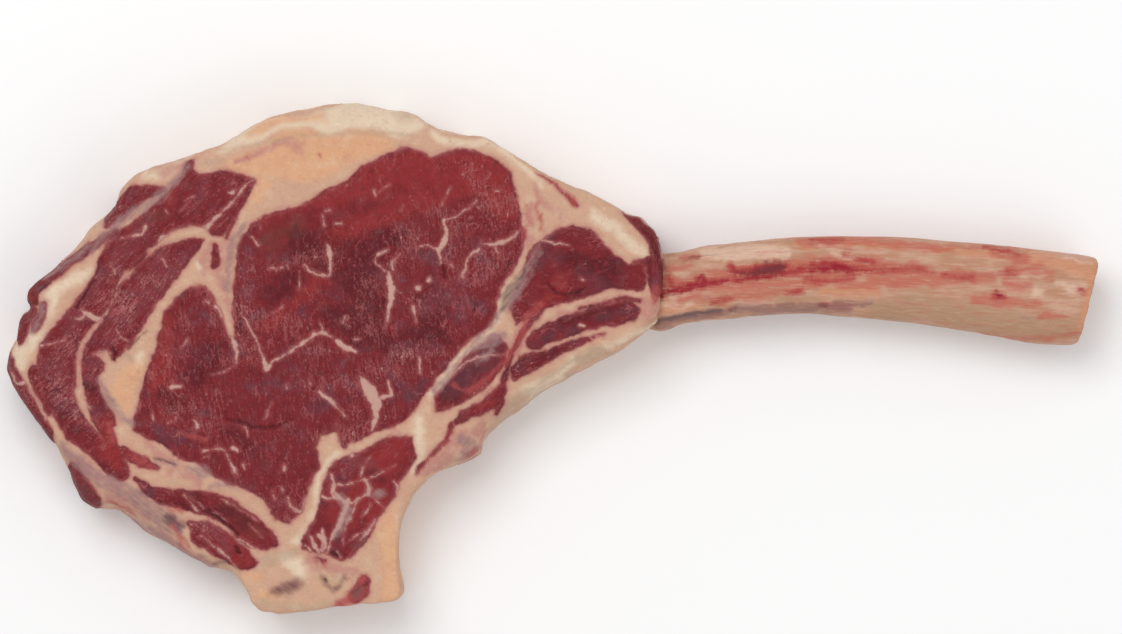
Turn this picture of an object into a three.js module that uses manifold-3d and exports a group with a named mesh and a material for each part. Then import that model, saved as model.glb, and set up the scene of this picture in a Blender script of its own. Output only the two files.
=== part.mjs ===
// Raw tomahawk steak: a thick slice of beef rib with its long, scraped rib bone left on.
// Millimetres, +Z up. The steak lies on its underside at z = 0, +X runs out along the bone to
// its sawn end, and +Y points to the fat cap. The origin is under the middle of the whole piece.
//
// The meat is one slab with rounded sides. Each muscle is an upright cell of that slab, from the
// underside to the cut face. The fat and skin between and round the muscles is one connected web.
// The bone lies at half the slab's height, with its root in a socket in the meat.
import * as THREE from "three";
import { mergeVertices } from "three/addons/utils/BufferGeometryUtils.js";
import Module from "manifold-3d";

// ---- Driving dimensions, in millimetres ---------------------------------------------------

const STEAK_THICKNESS = 40; // from the underside to the cut face of the muscles
const FAT_SINKS = 0.8; // the fat of the cut face lies this much lower than the muscles
const NEIGHBOUR_GAP = 0.3; // between a muscle or the bone and the fat that holds it
const FACE_SWELL = 0.7; // how far the cut face rises and sinks
const SIDE_SWELL = 1.2; // how far the sides bulge at half height
const SWELL_ROUNDING = 12; // a side that rounds over with this radius bulges by all of SIDE_SWELL
const UNDER_ROUNDING = 0.45; // rounding under the slab, as a share of the rounding above
const UNDER_BEVEL = 0.3; // where the rounding under the slab is broken by a middle ring, as a share
const SIDE_WAVE = 0.5; // height of the slow waves on the sides
const SIDE_WAVE_LENGTHS = [11, 13, 9, 14]; // their lengths along x, along y, and up the side, each in radians
const FACE_WAVE_LENGTHS = [17, 31, 15, 40]; // the same for the two crossing waves of the cut face

const OUTLINE_STEP = 5.5; // longest straight step along an outline
const FACE_CELL = 9; // size of a cell of the relief on the cut face
const SIDE_ARC_STEPS = 3; // steps of the rounding between side and cut face

const BONE_MIDDLE_HEIGHT = 20; // height of the bone's centre line
const BONE_SECTION_POINTS = 20; // points round the bone
const BONE_SQUARENESS = 2.4; // exponent of the section: 2 is an ellipse, more is boxier
const BONE_GROOVE_DEPTH = 1.3; // shallow groove along the upper side of the bone
const BONE_GROOVE_PLACE = 0.16; // the groove's place across the bone, as a share of half its width
const BONE_GROOVE_WIDTH = 0.3; // its width, as the same share
const SAWN_EDGE = 0.8; // the saw leaves an edge broken by this much

// Outline of the slab at its widest, clockwise from the left tip: x, y, and the radius with
// which the side rounds over there. The sawn chine at the bottom keeps nearly sharp edges.
const SLAB_OUTLINE = [
  [-207, -4, 10], [-205.5, 3.5, 11], [-203, 8.5, 12], [-202.5, 15, 12], [-201, 18.5, 9],
  [-198, 20, 7], [-200, 23, 4.5], [-198.5, 27, 6], [-190, 34, 9], [-185, 39, 11],
  [-179.5, 42.5, 12], [-175, 49, 12], [-168, 55, 12], [-164.5, 59, 9], [-163.5, 64.5, 7.5],
  [-157.5, 71, 7.5], [-149, 74.5, 8], [-139.5, 77.5, 4], [-130.5, 81, 3.5], [-125, 82.5, 4],
  [-116.5, 88, 8], [-106.5, 93, 10], [-90.5, 96, 11], [-73.5, 97.5, 10], [-58.5, 95.5, 7],
  [-50.5, 95, 4], [-46, 91.5, 3], [-37, 87.5, 2.5], [-24.5, 86, 2.5], [-16.5, 81, 2.5],
  [-3, 73, 3], [6.5, 68.5, 3], [19, 62, 3], [25.5, 58.5, 3], [30.5, 55.5, 4], [35.5, 54.5, 6],
  [41, 49.5, 6], [43.5, 41.5, 6], [44, 26.5, 5], [42, 14.5, 5], [37.5, 10.5, 6], [27.5, 3.5, 9],
  [12, -4.5, 10], [-3, -13, 11], [-10, -19, 11], [-18.5, -24.5, 12], [-25.5, -31.5, 12],
  [-26, -36, 11], [-32, -39.5, 9], [-38.5, -41.5, 8], [-45.5, -46, 5], [-51, -52.5, 3],
  [-55.5, -62.5, 2.5], [-56.5, -75, 2], [-55.5, -84.5, 1.5], [-54, -89, 1.5], [-56, -92, 1.5],
  [-76, -94.5, 1.5], [-91.5, -96, 1.5], [-103, -97, 1.5], [-110, -95.5, 1.5], [-114.5, -88.5, 2],
  [-121, -81.5, 4], [-129.5, -79, 8], [-140, -72.5, 12], [-152.5, -65, 14], [-164, -57, 14],
  [-172.5, -56.5, 14], [-178, -53, 13], [-182.5, -43, 10], [-187, -34, 6], [-192, -27.5, 5],
  [-197, -21.5, 6], [-202.5, -13.5, 9],
];

// Outline of each muscle on the cut face: x, y, clockwise.
const MUSCLES = [
  {
    name: "rib_eye", // the large main muscle, split by a deep notch on its left
    color: 0x7a2b31,
    outline: [
      [-116, 48], [-108.5, 54], [-94, 59], [-83, 65.5], [-77, 67.5], [-71.5, 73], [-61, 78],
      [-55.5, 80.5], [-49.5, 80], [-45, 77], [-39.5, 78.5], [-31, 80], [-21.5, 77], [-14.5, 71.5],
      [-12, 64], [-10.5, 55], [-8.5, 47], [-10.5, 39.5], [-14, 33], [-18.5, 26], [-19.5, 16.5],
      [-26, 10], [-33.5, 4], [-40.5, -5.5], [-46.5, -12.5], [-51.5, -20], [-58, -25.5],
      [-66, -27.5], [-77, -32], [-80.5, -27.5], [-86, -29], [-88.5, -33.5], [-86.5, -39.5],
      [-91, -48.5], [-94, -58], [-98, -62.5], [-103, -61], [-108.5, -53], [-117, -48.5],
      [-127.5, -44.5], [-134, -39], [-140, -38], [-146.5, -32], [-158, -26.5], [-155.5, -16],
      [-152, -3], [-148, 8.5], [-145.5, 18.5], [-138.5, 26], [-130.5, 28.5], [-126.5, 23],
      [-123.5, 16.5], [-122, 10], [-120.3, 8.3], [-119, 10.5], [-119.8, 17.5],
      [-119, 32.5],
    ],
  },
  {
    name: "cap_muscle_outer", // long band that wraps the left side
    color: 0x7d3439,
    outline: [
      [-136, 73], [-134, 72], [-132, 70.5], [-122.5, 72], [-110.5, 68.5], [-112.5, 64],
      [-118.5, 55], [-124, 47], [-128, 47], [-130, 50.5], [-140, 50], [-149, 44], [-158, 35.5],
      [-164.5, 29.5], [-166, 21], [-175, 11], [-179, 4], [-180, -7], [-179.5, -14.5],
      [-175, -23.5], [-170, -29], [-163.5, -32.5], [-159.5, -40.5], [-158.5, -45], [-162.5, -47],
      [-171, -40], [-178.5, -33], [-183.5, -29.5], [-187, -23], [-191.5, -15], [-194, -7.5],
      [-193, 6.5], [-186, 15], [-179.5, 23.5], [-172, 33.5], [-171, 39], [-163.5, 48.5],
      [-151, 58], [-143, 66],
    ],
  },
  {
    name: "cap_muscle_inner", // shorter band between the outer band and the eye
    color: 0x84383c,
    outline: [
      [-131, 45.5], [-132, 42.5], [-137, 37], [-144.5, 26.5], [-152, 16.5], [-157.5, 7],
      [-165.5, 0], [-168, 4], [-173, 2.5], [-168.5, -1.5], [-171, -8.5], [-167.5, -16.5],
      [-164, -25], [-169, -27.5], [-173.5, -20.5], [-176, -12], [-177.5, -1], [-175, 7],
      [-166, 16.5], [-164, 26], [-158, 34], [-148, 42.5], [-140, 45.5],
    ],
  },
  {
    name: "lower_strip_upper", // the upper of two strips in the lower left edge
    color: 0x742b31,
    outline: [
      [-156, -46.5], [-150.5, -48], [-137.5, -49.5], [-126.5, -50.5], [-115, -56],
      [-106.5, -63.5], [-102, -70.5], [-107, -73], [-115, -71], [-121.5, -63.5], [-131, -59],
      [-140, -56.5], [-148, -55], [-154.5, -50],
    ],
  },
  {
    name: "lower_strip_lower",
    color: 0x8a4446,
    outline: [
      [-137, -61], [-129.5, -61], [-121, -66], [-114, -72.5], [-110, -77], [-114.5, -80],
      [-120, -78.5], [-129, -73.5], [-135.5, -69],
    ],
  },
  {
    name: "chine_muscle", // wedge between the eye and the sawn chine
    color: 0x82292f,
    outline: [
      [-69.5, -34], [-61.5, -29.5], [-51.5, -29.5], [-50, -36.5], [-55, -45], [-58, -51.5],
      [-65.5, -61.5], [-69, -69], [-78.5, -76.5], [-84.5, -73.5], [-93.5, -72], [-93, -67],
      [-88.5, -60], [-86, -51.5], [-85, -45.5], [-80.5, -38], [-74.5, -36],
    ],
  },
  {
    name: "rib_muscle_upper", // the muscles by the root of the bone
    color: 0x87292e,
    outline: [
      [-1, 46.5], [4.5, 50.5], [16, 50], [20.5, 45.5], [25, 40.5], [31, 36.5], [36, 38],
      [38, 32], [36, 26.5], [23.5, 27], [11.5, 23], [-0.5, 19.5], [-12.5, 13.5], [-15, 20],
      [-10.5, 29.5], [-7.5, 41],
    ],
  },
  {
    name: "rib_muscle_middle",
    color: 0x74343c,
    outline: [
      [-5, 11.5], [4.5, 16], [16, 20], [32.5, 22.5], [35.5, 18.5], [33, 15], [20, 12.5],
      [7, 8.5], [-7.5, 4], [-8.5, 7.5],
    ],
  },
  {
    name: "rib_muscle_lower",
    color: 0x7c3137,
    outline: [
      [-10.5, 1.5], [0, 4], [12, 8.5], [22, 10], [13, 5.5], [0, -1], [-13.5, -8], [-14.5, -3],
    ],
  },
  {
    name: "seam_muscle_upper", // two small muscles under the seam on the right of the eye
    color: 0x6d3e47,
    outline: [
      [-18, 9], [-27.5, 4.5], [-34.5, -2.5], [-38, -8], [-43.5, -13.5], [-42.5, -20],
      [-32.5, -16.5], [-23.5, -10.5], [-16, -1], [-15, 5.5],
    ],
  },
  {
    name: "seam_muscle_lower",
    color: 0x833239,
    outline: [
      [-16.5, -8], [-15, -11.5], [-18.5, -18], [-28, -22], [-36.5, -24.5], [-33.5, -20],
      [-25, -15],
    ],
  },
  {
    name: "root_flap", // dark flap left round the root of the bone
    color: 0x5f2a2a,
    outline: [
      [29.5, 57.5], [35, 57], [42, 52.5], [45.5, 42], [47, 23], [40.5, 24.5], [39.5, 37],
      [38.5, 43.5], [35, 48.5], [31, 52.5],
    ],
  },
];

// Sections along the bone: x, middle y, width, depth. The first ones are the root in the meat.
const BONE_SECTIONS = [
  [20, 24.5, 17, 14], [22, 24.5, 21, 19], [27, 25, 24.5, 22], [41, 26.5, 28, 23.5],
  [50.5, 27.5, 27.5, 23.5], [58, 29.3, 28.6, 23], [73.5, 30.8, 28.6, 22.5], [96.5, 32.4, 29.2, 22],
  [115.5, 32, 31, 22], [130.5, 31.2, 31.6, 22], [153.5, 28.8, 32.4, 22.5], [172.5, 26.3, 33.4, 23],
  [192, 23.6, 34.2, 24], [206.5, 22.6, 33.6, 24.5],
];
const BONE_STATION_STEP = 8; // distance between the loft's sections
const SAW_SLANT = 0.19; // the sawn end leans: x gained for each millimetre across
const SLANT_START = 100; // the sections begin to lean here

const FAT_COLOR = 0xe2c2a2;
const BONE_COLOR = 0xc9978a;
const MEAT_ROUGHNESS = 0.5;
const FAT_ROUGHNESS = 0.55;
const BONE_ROUGHNESS = 0.6;

// ---- Solids: joining and cutting closed meshes -------------------------------------------

const wasm = await Module();
wasm.setup();

/** Turns a closed geometry into a solid that can be joined and cut. */
function toSolid(geometry) {
  geometry.deleteAttribute("normal");
  geometry.deleteAttribute("uv");
  const merged = mergeVertices(geometry, 1e-4);
  const mesh = new wasm.Mesh({
    numProp: 3,
    vertProperties: new Float32Array(merged.attributes.position.array),
    triVerts: new Uint32Array(merged.index.array),
  });
  return new wasm.Manifold(mesh);
}

/** Turns a finished solid back into a geometry. */
function toGeometry(solid) {
  const mesh = solid.getMesh();
  const geometry = new THREE.BufferGeometry();
  geometry.setAttribute("position", new THREE.BufferAttribute(new Float32Array(mesh.vertProperties), 3));
  geometry.setIndex(new THREE.BufferAttribute(new Uint32Array(mesh.triVerts), 1));
  geometry.computeVertexNormals();
  return geometry;
}

// ---- Outlines ---------------------------------------------------------------------------

/** Smooth closed ring through an outline's points, anticlockwise, in steps of about OUTLINE_STEP. */
function smoothRing(outline) {
  const corners = outline.map(([x, y, rounding = 0]) => new THREE.Vector3(x, y, rounding));
  const curve = new THREE.CatmullRomCurve3(corners, true, "centripetal");
  const ring = [];
  corners.forEach((corner, i) => {
    const next = corners[(i + 1) % corners.length];
    const steps = Math.max(1, Math.round(corner.distanceTo(next) / OUTLINE_STEP));
    for (let k = 0; k < steps; k += 1) {
      ring.push(curve.getPoint((i + k / steps) / corners.length));
    }
  });
  return THREE.ShapeUtils.area(ring) < 0 ? ring.reverse() : ring;
}

/** Outward direction at each point of an anticlockwise ring. */
function outwardDirections(ring) {
  return ring.map((point, i) => {
    const before = ring[(i + ring.length - 1) % ring.length];
    const after = ring[(i + 1) % ring.length];
    return new THREE.Vector2(after.y - before.y, before.x - after.x).normalize();
  });
}

/** Upright cell over an outline, grown outwards, taller than the slab at both ends. */
function uprightCell(outline, growth) {
  const overlap = 6;
  const ring = smoothRing(outline);
  const outward = outwardDirections(ring);
  const grown = ring.map((p, i) => new THREE.Vector2(p.x, p.y).addScaledVector(outward[i], growth));
  const cell = new THREE.ExtrudeGeometry(new THREE.Shape(grown), {
    depth: STEAK_THICKNESS + 2 * overlap,
    bevelEnabled: false,
  });
  cell.translate(0, 0, -overlap);
  return toSolid(cell);
}

/** Faces between each of a number of equal rings and the next, two for each pair of neighbours. */
function facesBetween(ringCount, size) {
  const index = [];
  for (let level = 0; level + 1 < ringCount; level += 1) {
    for (let i = 0; i < size; i += 1) {
      const a = level * size + i;
      const b = level * size + ((i + 1) % size);
      index.push(a, b, b + size, a, b + size, a + size);
    }
  }
  return index;
}

/** A geometry from points and the faces between them. */
function indexedGeometry(points, index) {
  const geometry = new THREE.BufferGeometry().setFromPoints(points);
  geometry.setIndex(index);
  return geometry;
}

/** Closed surface over a stack of equal rings, from the lowest ring to the highest. */
function stackOfRings(rings) {
  const size = rings[0].length;
  const index = facesBetween(rings.length, size);
  const top = (rings.length - 1) * size;
  const fill = (ring) => THREE.ShapeUtils.triangulateShape(ring.map((p) => new THREE.Vector2(p.x, p.y)), []);
  fill(rings[0]).forEach(([a, b, c]) => index.push(c, b, a));
  fill(rings.at(-1)).forEach(([a, b, c]) => index.push(top + a, top + b, top + c));
  return indexedGeometry(rings.flat(), index);
}

// ---- The slab of meat -------------------------------------------------------------------

/** Slow waves on the sides, from the place on the outline and the height. */
function sideWave(x, y, z) {
  const [alongX, alongY, upFirst, upSecond] = SIDE_WAVE_LENGTHS;
  return SIDE_WAVE * Math.sin(x / alongX + z / upFirst) * Math.cos(y / alongY - z / upSecond);
}

/** The slab's rounded sides, open upwards past the cut face so that the relief can trim it. */
function slabSides() {
  const ring = smoothRing(SLAB_OUTLINE);
  const outward = outwardDirections(ring);
  const above = 5;
  const level = (heightOf, insetOf) =>
    ring.map((p, i) => {
      const z = heightOf(p.z);
      const move = sideWave(p.x, p.y, z) - insetOf(p.z);
      return new THREE.Vector3(p.x + move * outward[i].x, p.y + move * outward[i].y, z);
    });
  const rings = [
    level(() => 0, (r) => r * UNDER_ROUNDING),
    level((r) => r * UNDER_ROUNDING * UNDER_BEVEL, (r) => r * UNDER_ROUNDING * UNDER_BEVEL),
    level((r) => r * UNDER_ROUNDING, () => 0),
    level(() => STEAK_THICKNESS / 2, (r) => (-SIDE_SWELL * r) / SWELL_ROUNDING),
  ];
  for (let step = 0; step <= SIDE_ARC_STEPS; step += 1) {
    const angle = ((Math.PI / 2) * step) / SIDE_ARC_STEPS;
    rings.push(
      level(
        (r) => STEAK_THICKNESS - r * (1 - Math.sin(angle)),
        (r) => r * (1 - Math.cos(angle)),
      ),
    );
  }
  rings.push(level(() => STEAK_THICKNESS + above, (r) => r));
  return toSolid(stackOfRings(rings));
}

/** Block whose top is the gently uneven cut face, lowered by sink. */
function faceBlock(sink) {
  const below = 4;
  const length = 300;
  const width = 220;
  const middleX = -80;
  const [firstX, firstY, secondY, secondX] = FACE_WAVE_LENGTHS;
  const box = new THREE.BoxGeometry(
    length,
    width,
    STEAK_THICKNESS,
    Math.round(length / FACE_CELL),
    Math.round(width / FACE_CELL),
    1,
  );
  box.translate(middleX, 0, 0);
  const position = box.attributes.position;
  for (let i = 0; i < position.count; i += 1) {
    const x = position.getX(i);
    const y = position.getY(i);
    const swell = Math.sin(x / firstX + y / firstY) * Math.cos(y / secondY - x / secondX);
    const face = STEAK_THICKNESS - sink + FACE_SWELL * swell;
    position.setZ(i, position.getZ(i) > 0 ? face : -below);
  }
  return toSolid(box);
}

// ---- The bone ---------------------------------------------------------------------------

/** One section of the bone, anticlockwise seen from the sawn end, grown outwards by growth. */
function boneSection(x, middle, width, depth, slant, growth) {
  const section = [];
  for (let i = 0; i < BONE_SECTION_POINTS; i += 1) {
    const angle = (2 * Math.PI * i) / BONE_SECTION_POINTS;
    const across = Math.sign(Math.cos(angle)) * Math.abs(Math.cos(angle)) ** (2 / BONE_SQUARENESS);
    const up = Math.sign(Math.sin(angle)) * Math.abs(Math.sin(angle)) ** (2 / BONE_SQUARENESS);
    const inGroove = up > 0 ? Math.exp(-(((across - BONE_GROOVE_PLACE) / BONE_GROOVE_WIDTH) ** 2)) : 0;
    const y = across * (width / 2 + growth);
    const z = up * (depth / 2 + growth) - BONE_GROOVE_DEPTH * inGroove;
    section.push(new THREE.Vector3(x + slant * y, middle + y, BONE_MIDDLE_HEIGHT + z));
  }
  return section;
}

/** The whole bone as a loft through its sections, with rounded root and sawn end. */
function boneGeometry(growth) {
  const knots = BONE_SECTIONS.map(([x, middle, width, depth]) => new THREE.Vector4(x, middle, width, depth));
  const line = (pick) => new THREE.SplineCurve(knots.map((k) => new THREE.Vector2(k.x, pick(k))));
  const middles = line((k) => k.y);
  const widths = line((k) => k.z);
  const depths = line((k) => k.w);
  const last = knots.at(-1).x;
  const sections = [];
  const addSection = (t, x, shrink) => {
    const slant = SAW_SLANT * THREE.MathUtils.smoothstep(x, SLANT_START, last);
    const width = widths.getPoint(t).y - 2 * shrink;
    const depth = depths.getPoint(t).y - 2 * shrink;
    sections.push(boneSection(x, middles.getPoint(t).y, width, depth, slant, growth));
  };
  knots.slice(0, -1).forEach((knot, i) => {
    const steps = Math.max(1, Math.round((knots[i + 1].x - knot.x) / BONE_STATION_STEP));
    for (let k = 0; k < steps; k += 1) {
      const t = (i + k / steps) / (knots.length - 1);
      addSection(t, middles.getPoint(t).x - (t === 0 ? growth : 0), 0);
    }
  });
  addSection(1, last - SAWN_EDGE, 0);
  addSection(1, last, SAWN_EDGE);
  return closedLoft(sections);
}

/** Closed surface through sections, each end closed by a fan to its middle. */
function closedLoft(sections) {
  const size = sections[0].length;
  const index = facesBetween(sections.length, size);
  const middleOf = (section) =>
    section.reduce((sum, p) => sum.add(p), new THREE.Vector3()).divideScalar(section.length);
  const startMiddle = sections.length * size;
  const last = startMiddle - size;
  for (let i = 0; i < size; i += 1) {
    const next = (i + 1) % size;
    index.push(startMiddle, next, i);
    index.push(startMiddle + 1, last + i, last + next);
  }
  return indexedGeometry([...sections.flat(), middleOf(sections[0]), middleOf(sections.at(-1))], index);
}

// ---- Putting the steak together ------------------------------------------------------------

const steak = new THREE.Group();

/** Adds a solid to the steak as a named mesh with a material of its own. */
function addNode(name, solid, color, roughness) {
  const material = new THREE.MeshStandardMaterial({ color, roughness, metalness: 0 });
  const node = new THREE.Mesh(toGeometry(solid), material);
  node.name = name;
  steak.add(node);
}

const sides = slabSides();
const socket = toSolid(boneGeometry(NEIGHBOUR_GAP));
const leanSlab = sides.intersect(faceBlock(0)).subtract(socket);
let fatWeb = sides.intersect(faceBlock(FAT_SINKS)).subtract(socket);

for (const muscle of MUSCLES) {
  addNode(muscle.name, leanSlab.intersect(uprightCell(muscle.outline, 0)), muscle.color, MEAT_ROUGHNESS);
  fatWeb = fatWeb.subtract(uprightCell(muscle.outline, NEIGHBOUR_GAP));
}
addNode("fat_web", fatWeb, FAT_COLOR, FAT_ROUGHNESS);
addNode("rib_bone", toSolid(boneGeometry(0)), BONE_COLOR, BONE_ROUGHNESS);

// The origin goes under the middle of the whole piece.
const extent = new THREE.Box3().setFromObject(steak);
const middle = extent.getCenter(new THREE.Vector3());
steak.position.set(-middle.x, -middle.y, 0);
steak.updateMatrixWorld(true);

export default steak;
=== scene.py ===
"""A raw tomahawk steak on a pale table, seen from straight above.

The steak is a thick slice of beef rib: one slab of muscles held by fat, with the long rib bone left on.
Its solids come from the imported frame. Here they get their uneven cut face, marbling, seams, blood and bone.
"""

import bpy
import numpy as np
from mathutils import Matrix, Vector


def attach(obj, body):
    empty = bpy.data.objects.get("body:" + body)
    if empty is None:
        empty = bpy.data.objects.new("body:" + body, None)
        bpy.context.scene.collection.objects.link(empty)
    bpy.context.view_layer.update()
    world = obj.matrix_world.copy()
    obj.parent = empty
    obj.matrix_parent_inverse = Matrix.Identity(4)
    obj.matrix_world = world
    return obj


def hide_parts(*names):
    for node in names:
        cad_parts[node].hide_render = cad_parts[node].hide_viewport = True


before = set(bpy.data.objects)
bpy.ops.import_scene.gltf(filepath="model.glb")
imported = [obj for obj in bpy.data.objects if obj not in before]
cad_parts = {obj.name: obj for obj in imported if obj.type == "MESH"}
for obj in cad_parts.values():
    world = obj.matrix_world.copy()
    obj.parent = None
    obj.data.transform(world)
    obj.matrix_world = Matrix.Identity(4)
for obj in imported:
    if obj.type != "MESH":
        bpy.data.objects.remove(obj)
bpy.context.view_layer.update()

# ---- The meat ---------------------------------------------------------------------------------
# A slice of beef rib, cut 40 mm thick by a knife and sawn nearly square at the chine: twelve
# muscles bedded in one web of fat, which holds them by growing between them. The slab is a net of
# small squares over the outline of the frame's solids, and each piece is its own part of the net.

MILLIMETRE = 0.001
MEAT_NODES = [name for name in sorted(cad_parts) if name != "rib_bone"]
MUSCLES = [name for name in MEAT_NODES if name != "fat_web"]
SLAB_HEIGHT = 40.0  # millimetres, as everything in this section
WIDEST_HEIGHT = 20.0  # the sides bulge most here
CELL_HEIGHT = 33.0  # above the bone's socket, where every muscle shows its whole outline
SEAM_GAP = 0.35  # the frame's muscles and fat lie this far apart
JUST_OUTSIDE = 1.2  # from a cut's middle to the place that shows whether it is on the slab's outline
OUTLINES_APART = 4.5  # the upper outline counts where it is further than this from the widest one
NET_STEP = 0.58  # side of the net's squares
NET_MARGIN = 2.0  # the net goes this far past the outline
SIDE_BULGE = 0.1  # how far the sides stand out at half height, as a share of their rounding
UNDER_ROUNDING = 0.45  # rounding below, as a share of the rounding above
LEAST_UNDER_ROUNDING = 2.0
RIM_ZONE = 1.3  # width of the zone of the net that goes over the side, in roundings
LEAST_RIM_ZONE = 6.0
SIDE_SHARE = 0.35  # of that zone for each millimetre of the upright side
ROUNDING_EXTRA = 1.2  # the rounding gets its own length and this much more
FACE_SHARE = 0.8  # of the zone for each millimetre of the face
WAVE_CUBES = 41  # random waves repeat after this many of their cubes
WAVE_START = 410.37  # keeps the frame's origin off the cubes' corners

# The rounding between the sides and the cut face: x, y and radius of places round the slab.
ROUNDINGS = [
    (-207, 0, 10), (-202, 17, 11), (-199, 25, 5), (-185, 38, 11), (-170, 53, 12), (-160, 66, 8),
    (-135, 79, 4), (-115, 89, 8), (-80, 97, 11), (-52, 94, 4), (-22, 84, 2.5), (18, 61, 3),
    (38, 52, 6), (44, 28, 5), (36, 8, 6), (12, -6, 10), (-14, -23, 12), (-32, -40, 9),
    (-50, -53, 3), (-57, -80, 2), (-80, -96, 1.5), (-113, -92, 1.5), (-130, -79, 8),
    (-158, -62, 14), (-180, -50, 12), (-190, -31, 5), (-203, -14, 9),
]


def node_triangles(name):
    """Corners of each triangle of a solid, in millimetres: triangles by corners by axes."""
    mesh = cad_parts[name].data
    points = np.empty(len(mesh.vertices) * 3)
    corners = np.empty(len(mesh.loops), int)
    mesh.vertices.foreach_get("co", points)
    mesh.loops.foreach_get("vertex_index", corners)
    return points.reshape(-1, 3)[corners.reshape(-1, 3)] / MILLIMETRE


def plane_crossings(triangles, rise):
    """Points where a plane cuts the edges of triangles, and the triangles that it passes through.

    Rise is how far each corner lies beyond the plane. An edge is cut where its rise changes sign, at
    the share of its length that is its first rise over the difference of the two.
    """
    passes = (rise.min(1) < 0) & (rise.max(1) > 0)
    triangles, rise = triangles[passes], rise[passes]
    after, rise_after = np.roll(triangles, -1, 1), np.roll(rise, -1, 1)
    crossing = rise * rise_after < 0
    share = np.where(crossing, rise / np.where(crossing, rise - rise_after, 1), 0)
    points = triangles + share[..., None] * (after - triangles)
    return points[crossing], triangles


def unit(directions):
    """Directions made 1 long."""
    return directions / np.maximum(np.linalg.norm(directions, axis=1), 1e-12)[:, None]


def crossed_edges(corners):
    """Outward direction of triangles, as long as twice their area: the cross product of two edges."""
    return np.cross(corners[:, 1] - corners[:, 0], corners[:, 2] - corners[:, 0])


def level_cut(name, height):
    """Straight pieces in which a level plane cuts a solid, and the outward direction of each."""
    triangles = node_triangles(name)
    points, triangles = plane_crossings(triangles, triangles[:, :, 2] - height - 1e-4)
    return points.reshape(-1, 2, 3)[:, :, :2], unit(crossed_edges(triangles)[:, :2])


def is_inside(points, pieces):
    """Whether points lie inside a closed outline: a line to their right passes it an odd number of times.

    The outline comes as straight pieces in any order.
    """
    inside = np.zeros(len(points), bool)
    for (x0, y0), (x1, y1) in pieces:
        between = (points[:, 1] >= min(y0, y1)) & (points[:, 1] < max(y0, y1))
        beside = points[between]
        crossing = x0 + (beside[:, 1] - y0) * (x1 - x0) / (y1 - y0 if y1 != y0 else 1)
        inside[between] ^= beside[:, 0] < crossing
    return inside


def distance_to(points, pieces):
    """Distance from points to the nearest of some straight pieces."""
    nearest = np.full(len(points), np.inf)
    for start, end in pieces:
        run = end - start
        along = np.clip((points - start) @ run / max(run @ run, 1e-9), 0, 1)
        offset = points - start - along[:, None] * run
        nearest = np.minimum(nearest, np.einsum("ij,ij->i", offset, offset))
    return np.sqrt(nearest)


def depth_inside(points, pieces, reach=12.0):
    """How deep points lie in a closed outline, negative outside, and no further out than reach."""
    low, high = pieces.min((0, 1)) - reach, pieces.max((0, 1)) + reach
    near = np.all((points > low) & (points < high), axis=1)
    depth = np.full(len(points), -reach)
    distance = distance_to(points[near], pieces)
    depth[near] = np.where(is_inside(points[near], pieces), distance, -distance)
    return np.maximum(depth, -reach)


def waves(places, scale, seed):
    """Smooth random waves from -1 to 1.

    Random values stand at the corners of cubes of that scale, and a smooth step along each axis
    leads from one to the next.
    """
    corner_values = np.random.default_rng(seed).uniform(-1, 1, (WAVE_CUBES,) * 3)
    place = places / scale + WAVE_START
    corner = np.floor(place).astype(int)
    share = place - corner
    share = share * share * (3 - 2 * share)
    total = np.zeros(len(places))
    for step in np.ndindex(2, 2, 2):
        weight = np.prod(np.where(step, share, 1 - share), axis=1)
        i, j, k = ((corner + step) % WAVE_CUBES).T
        total += weight * corner_values[i, j, k]
    return total


def smooth(value, low, high):
    """Goes from 0 at low to 1 at high, level at both ends."""
    share = np.clip((value - low) / (high - low), 0, 1)
    return share * share * (3 - 2 * share)


cuts = {
    height: {name: level_cut(name, height) for name in MEAT_NODES}
    for height in (WIDEST_HEIGHT, CELL_HEIGHT)
}
muscle_outlines = {name: cuts[CELL_HEIGHT][name][0] for name in MUSCLES}


def in_slab(points):
    """Whether points lie in the slab's outline: in the fat or a muscle, or in the gaps between them."""
    inside = np.zeros(len(points), bool)
    for cut in cuts.values():
        inside |= is_inside(points, cut["fat_web"][0])
    for pieces in muscle_outlines.values():
        inside |= depth_inside(points, pieces, 2.0) > -SEAM_GAP
    return inside


def outer_pieces(cut):
    """The pieces of a level cut with nothing just outside them: together they are the slab's outline."""
    pieces = np.concatenate([found for found, _ in cut.values()])
    outward = np.concatenate([direction for _, direction in cut.values()])
    return pieces[~in_slab(pieces.mean(1) + JUST_OUTSIDE * outward)]


widest, upper = (outer_pieces(cut) for cut in cuts.values())
rim = np.concatenate([widest, upper[distance_to(upper.mean(1), widest) > OUTLINES_APART]])

# The net: all corners of its squares, how deep each lies in the slab, and the way inwards. Waves
# in the depth make the slab's outline uneven.
columns = np.arange(rim[..., 0].min() - NET_MARGIN, rim[..., 0].max() + NET_MARGIN, NET_STEP)
rows = np.arange(rim[..., 1].min() - NET_MARGIN, rim[..., 1].max() + NET_MARGIN, NET_STEP)
net_shape = (len(columns), len(rows))
net = np.stack(np.meshgrid(columns, rows, indexing="ij"), -1).reshape(-1, 2)
level_net = np.column_stack([net, np.full(len(net), SLAB_HEIGHT)])
depth = np.where(in_slab(net), 1, -1) * distance_to(net, rim)
depth += 0.45 * waves(level_net, 5.0, 11) + 0.2 * waves(level_net, 1.9, 12)


def blurred(field, times):
    """A field on the net, each value mixed again and again with its neighbours, so corners get round."""
    field = field.reshape(net_shape)
    for _ in range(times):
        for axis in (0, 1):
            field = (np.roll(field, 1, axis) + 2 * field + np.roll(field, -1, axis)) / 4
    return field


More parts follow.
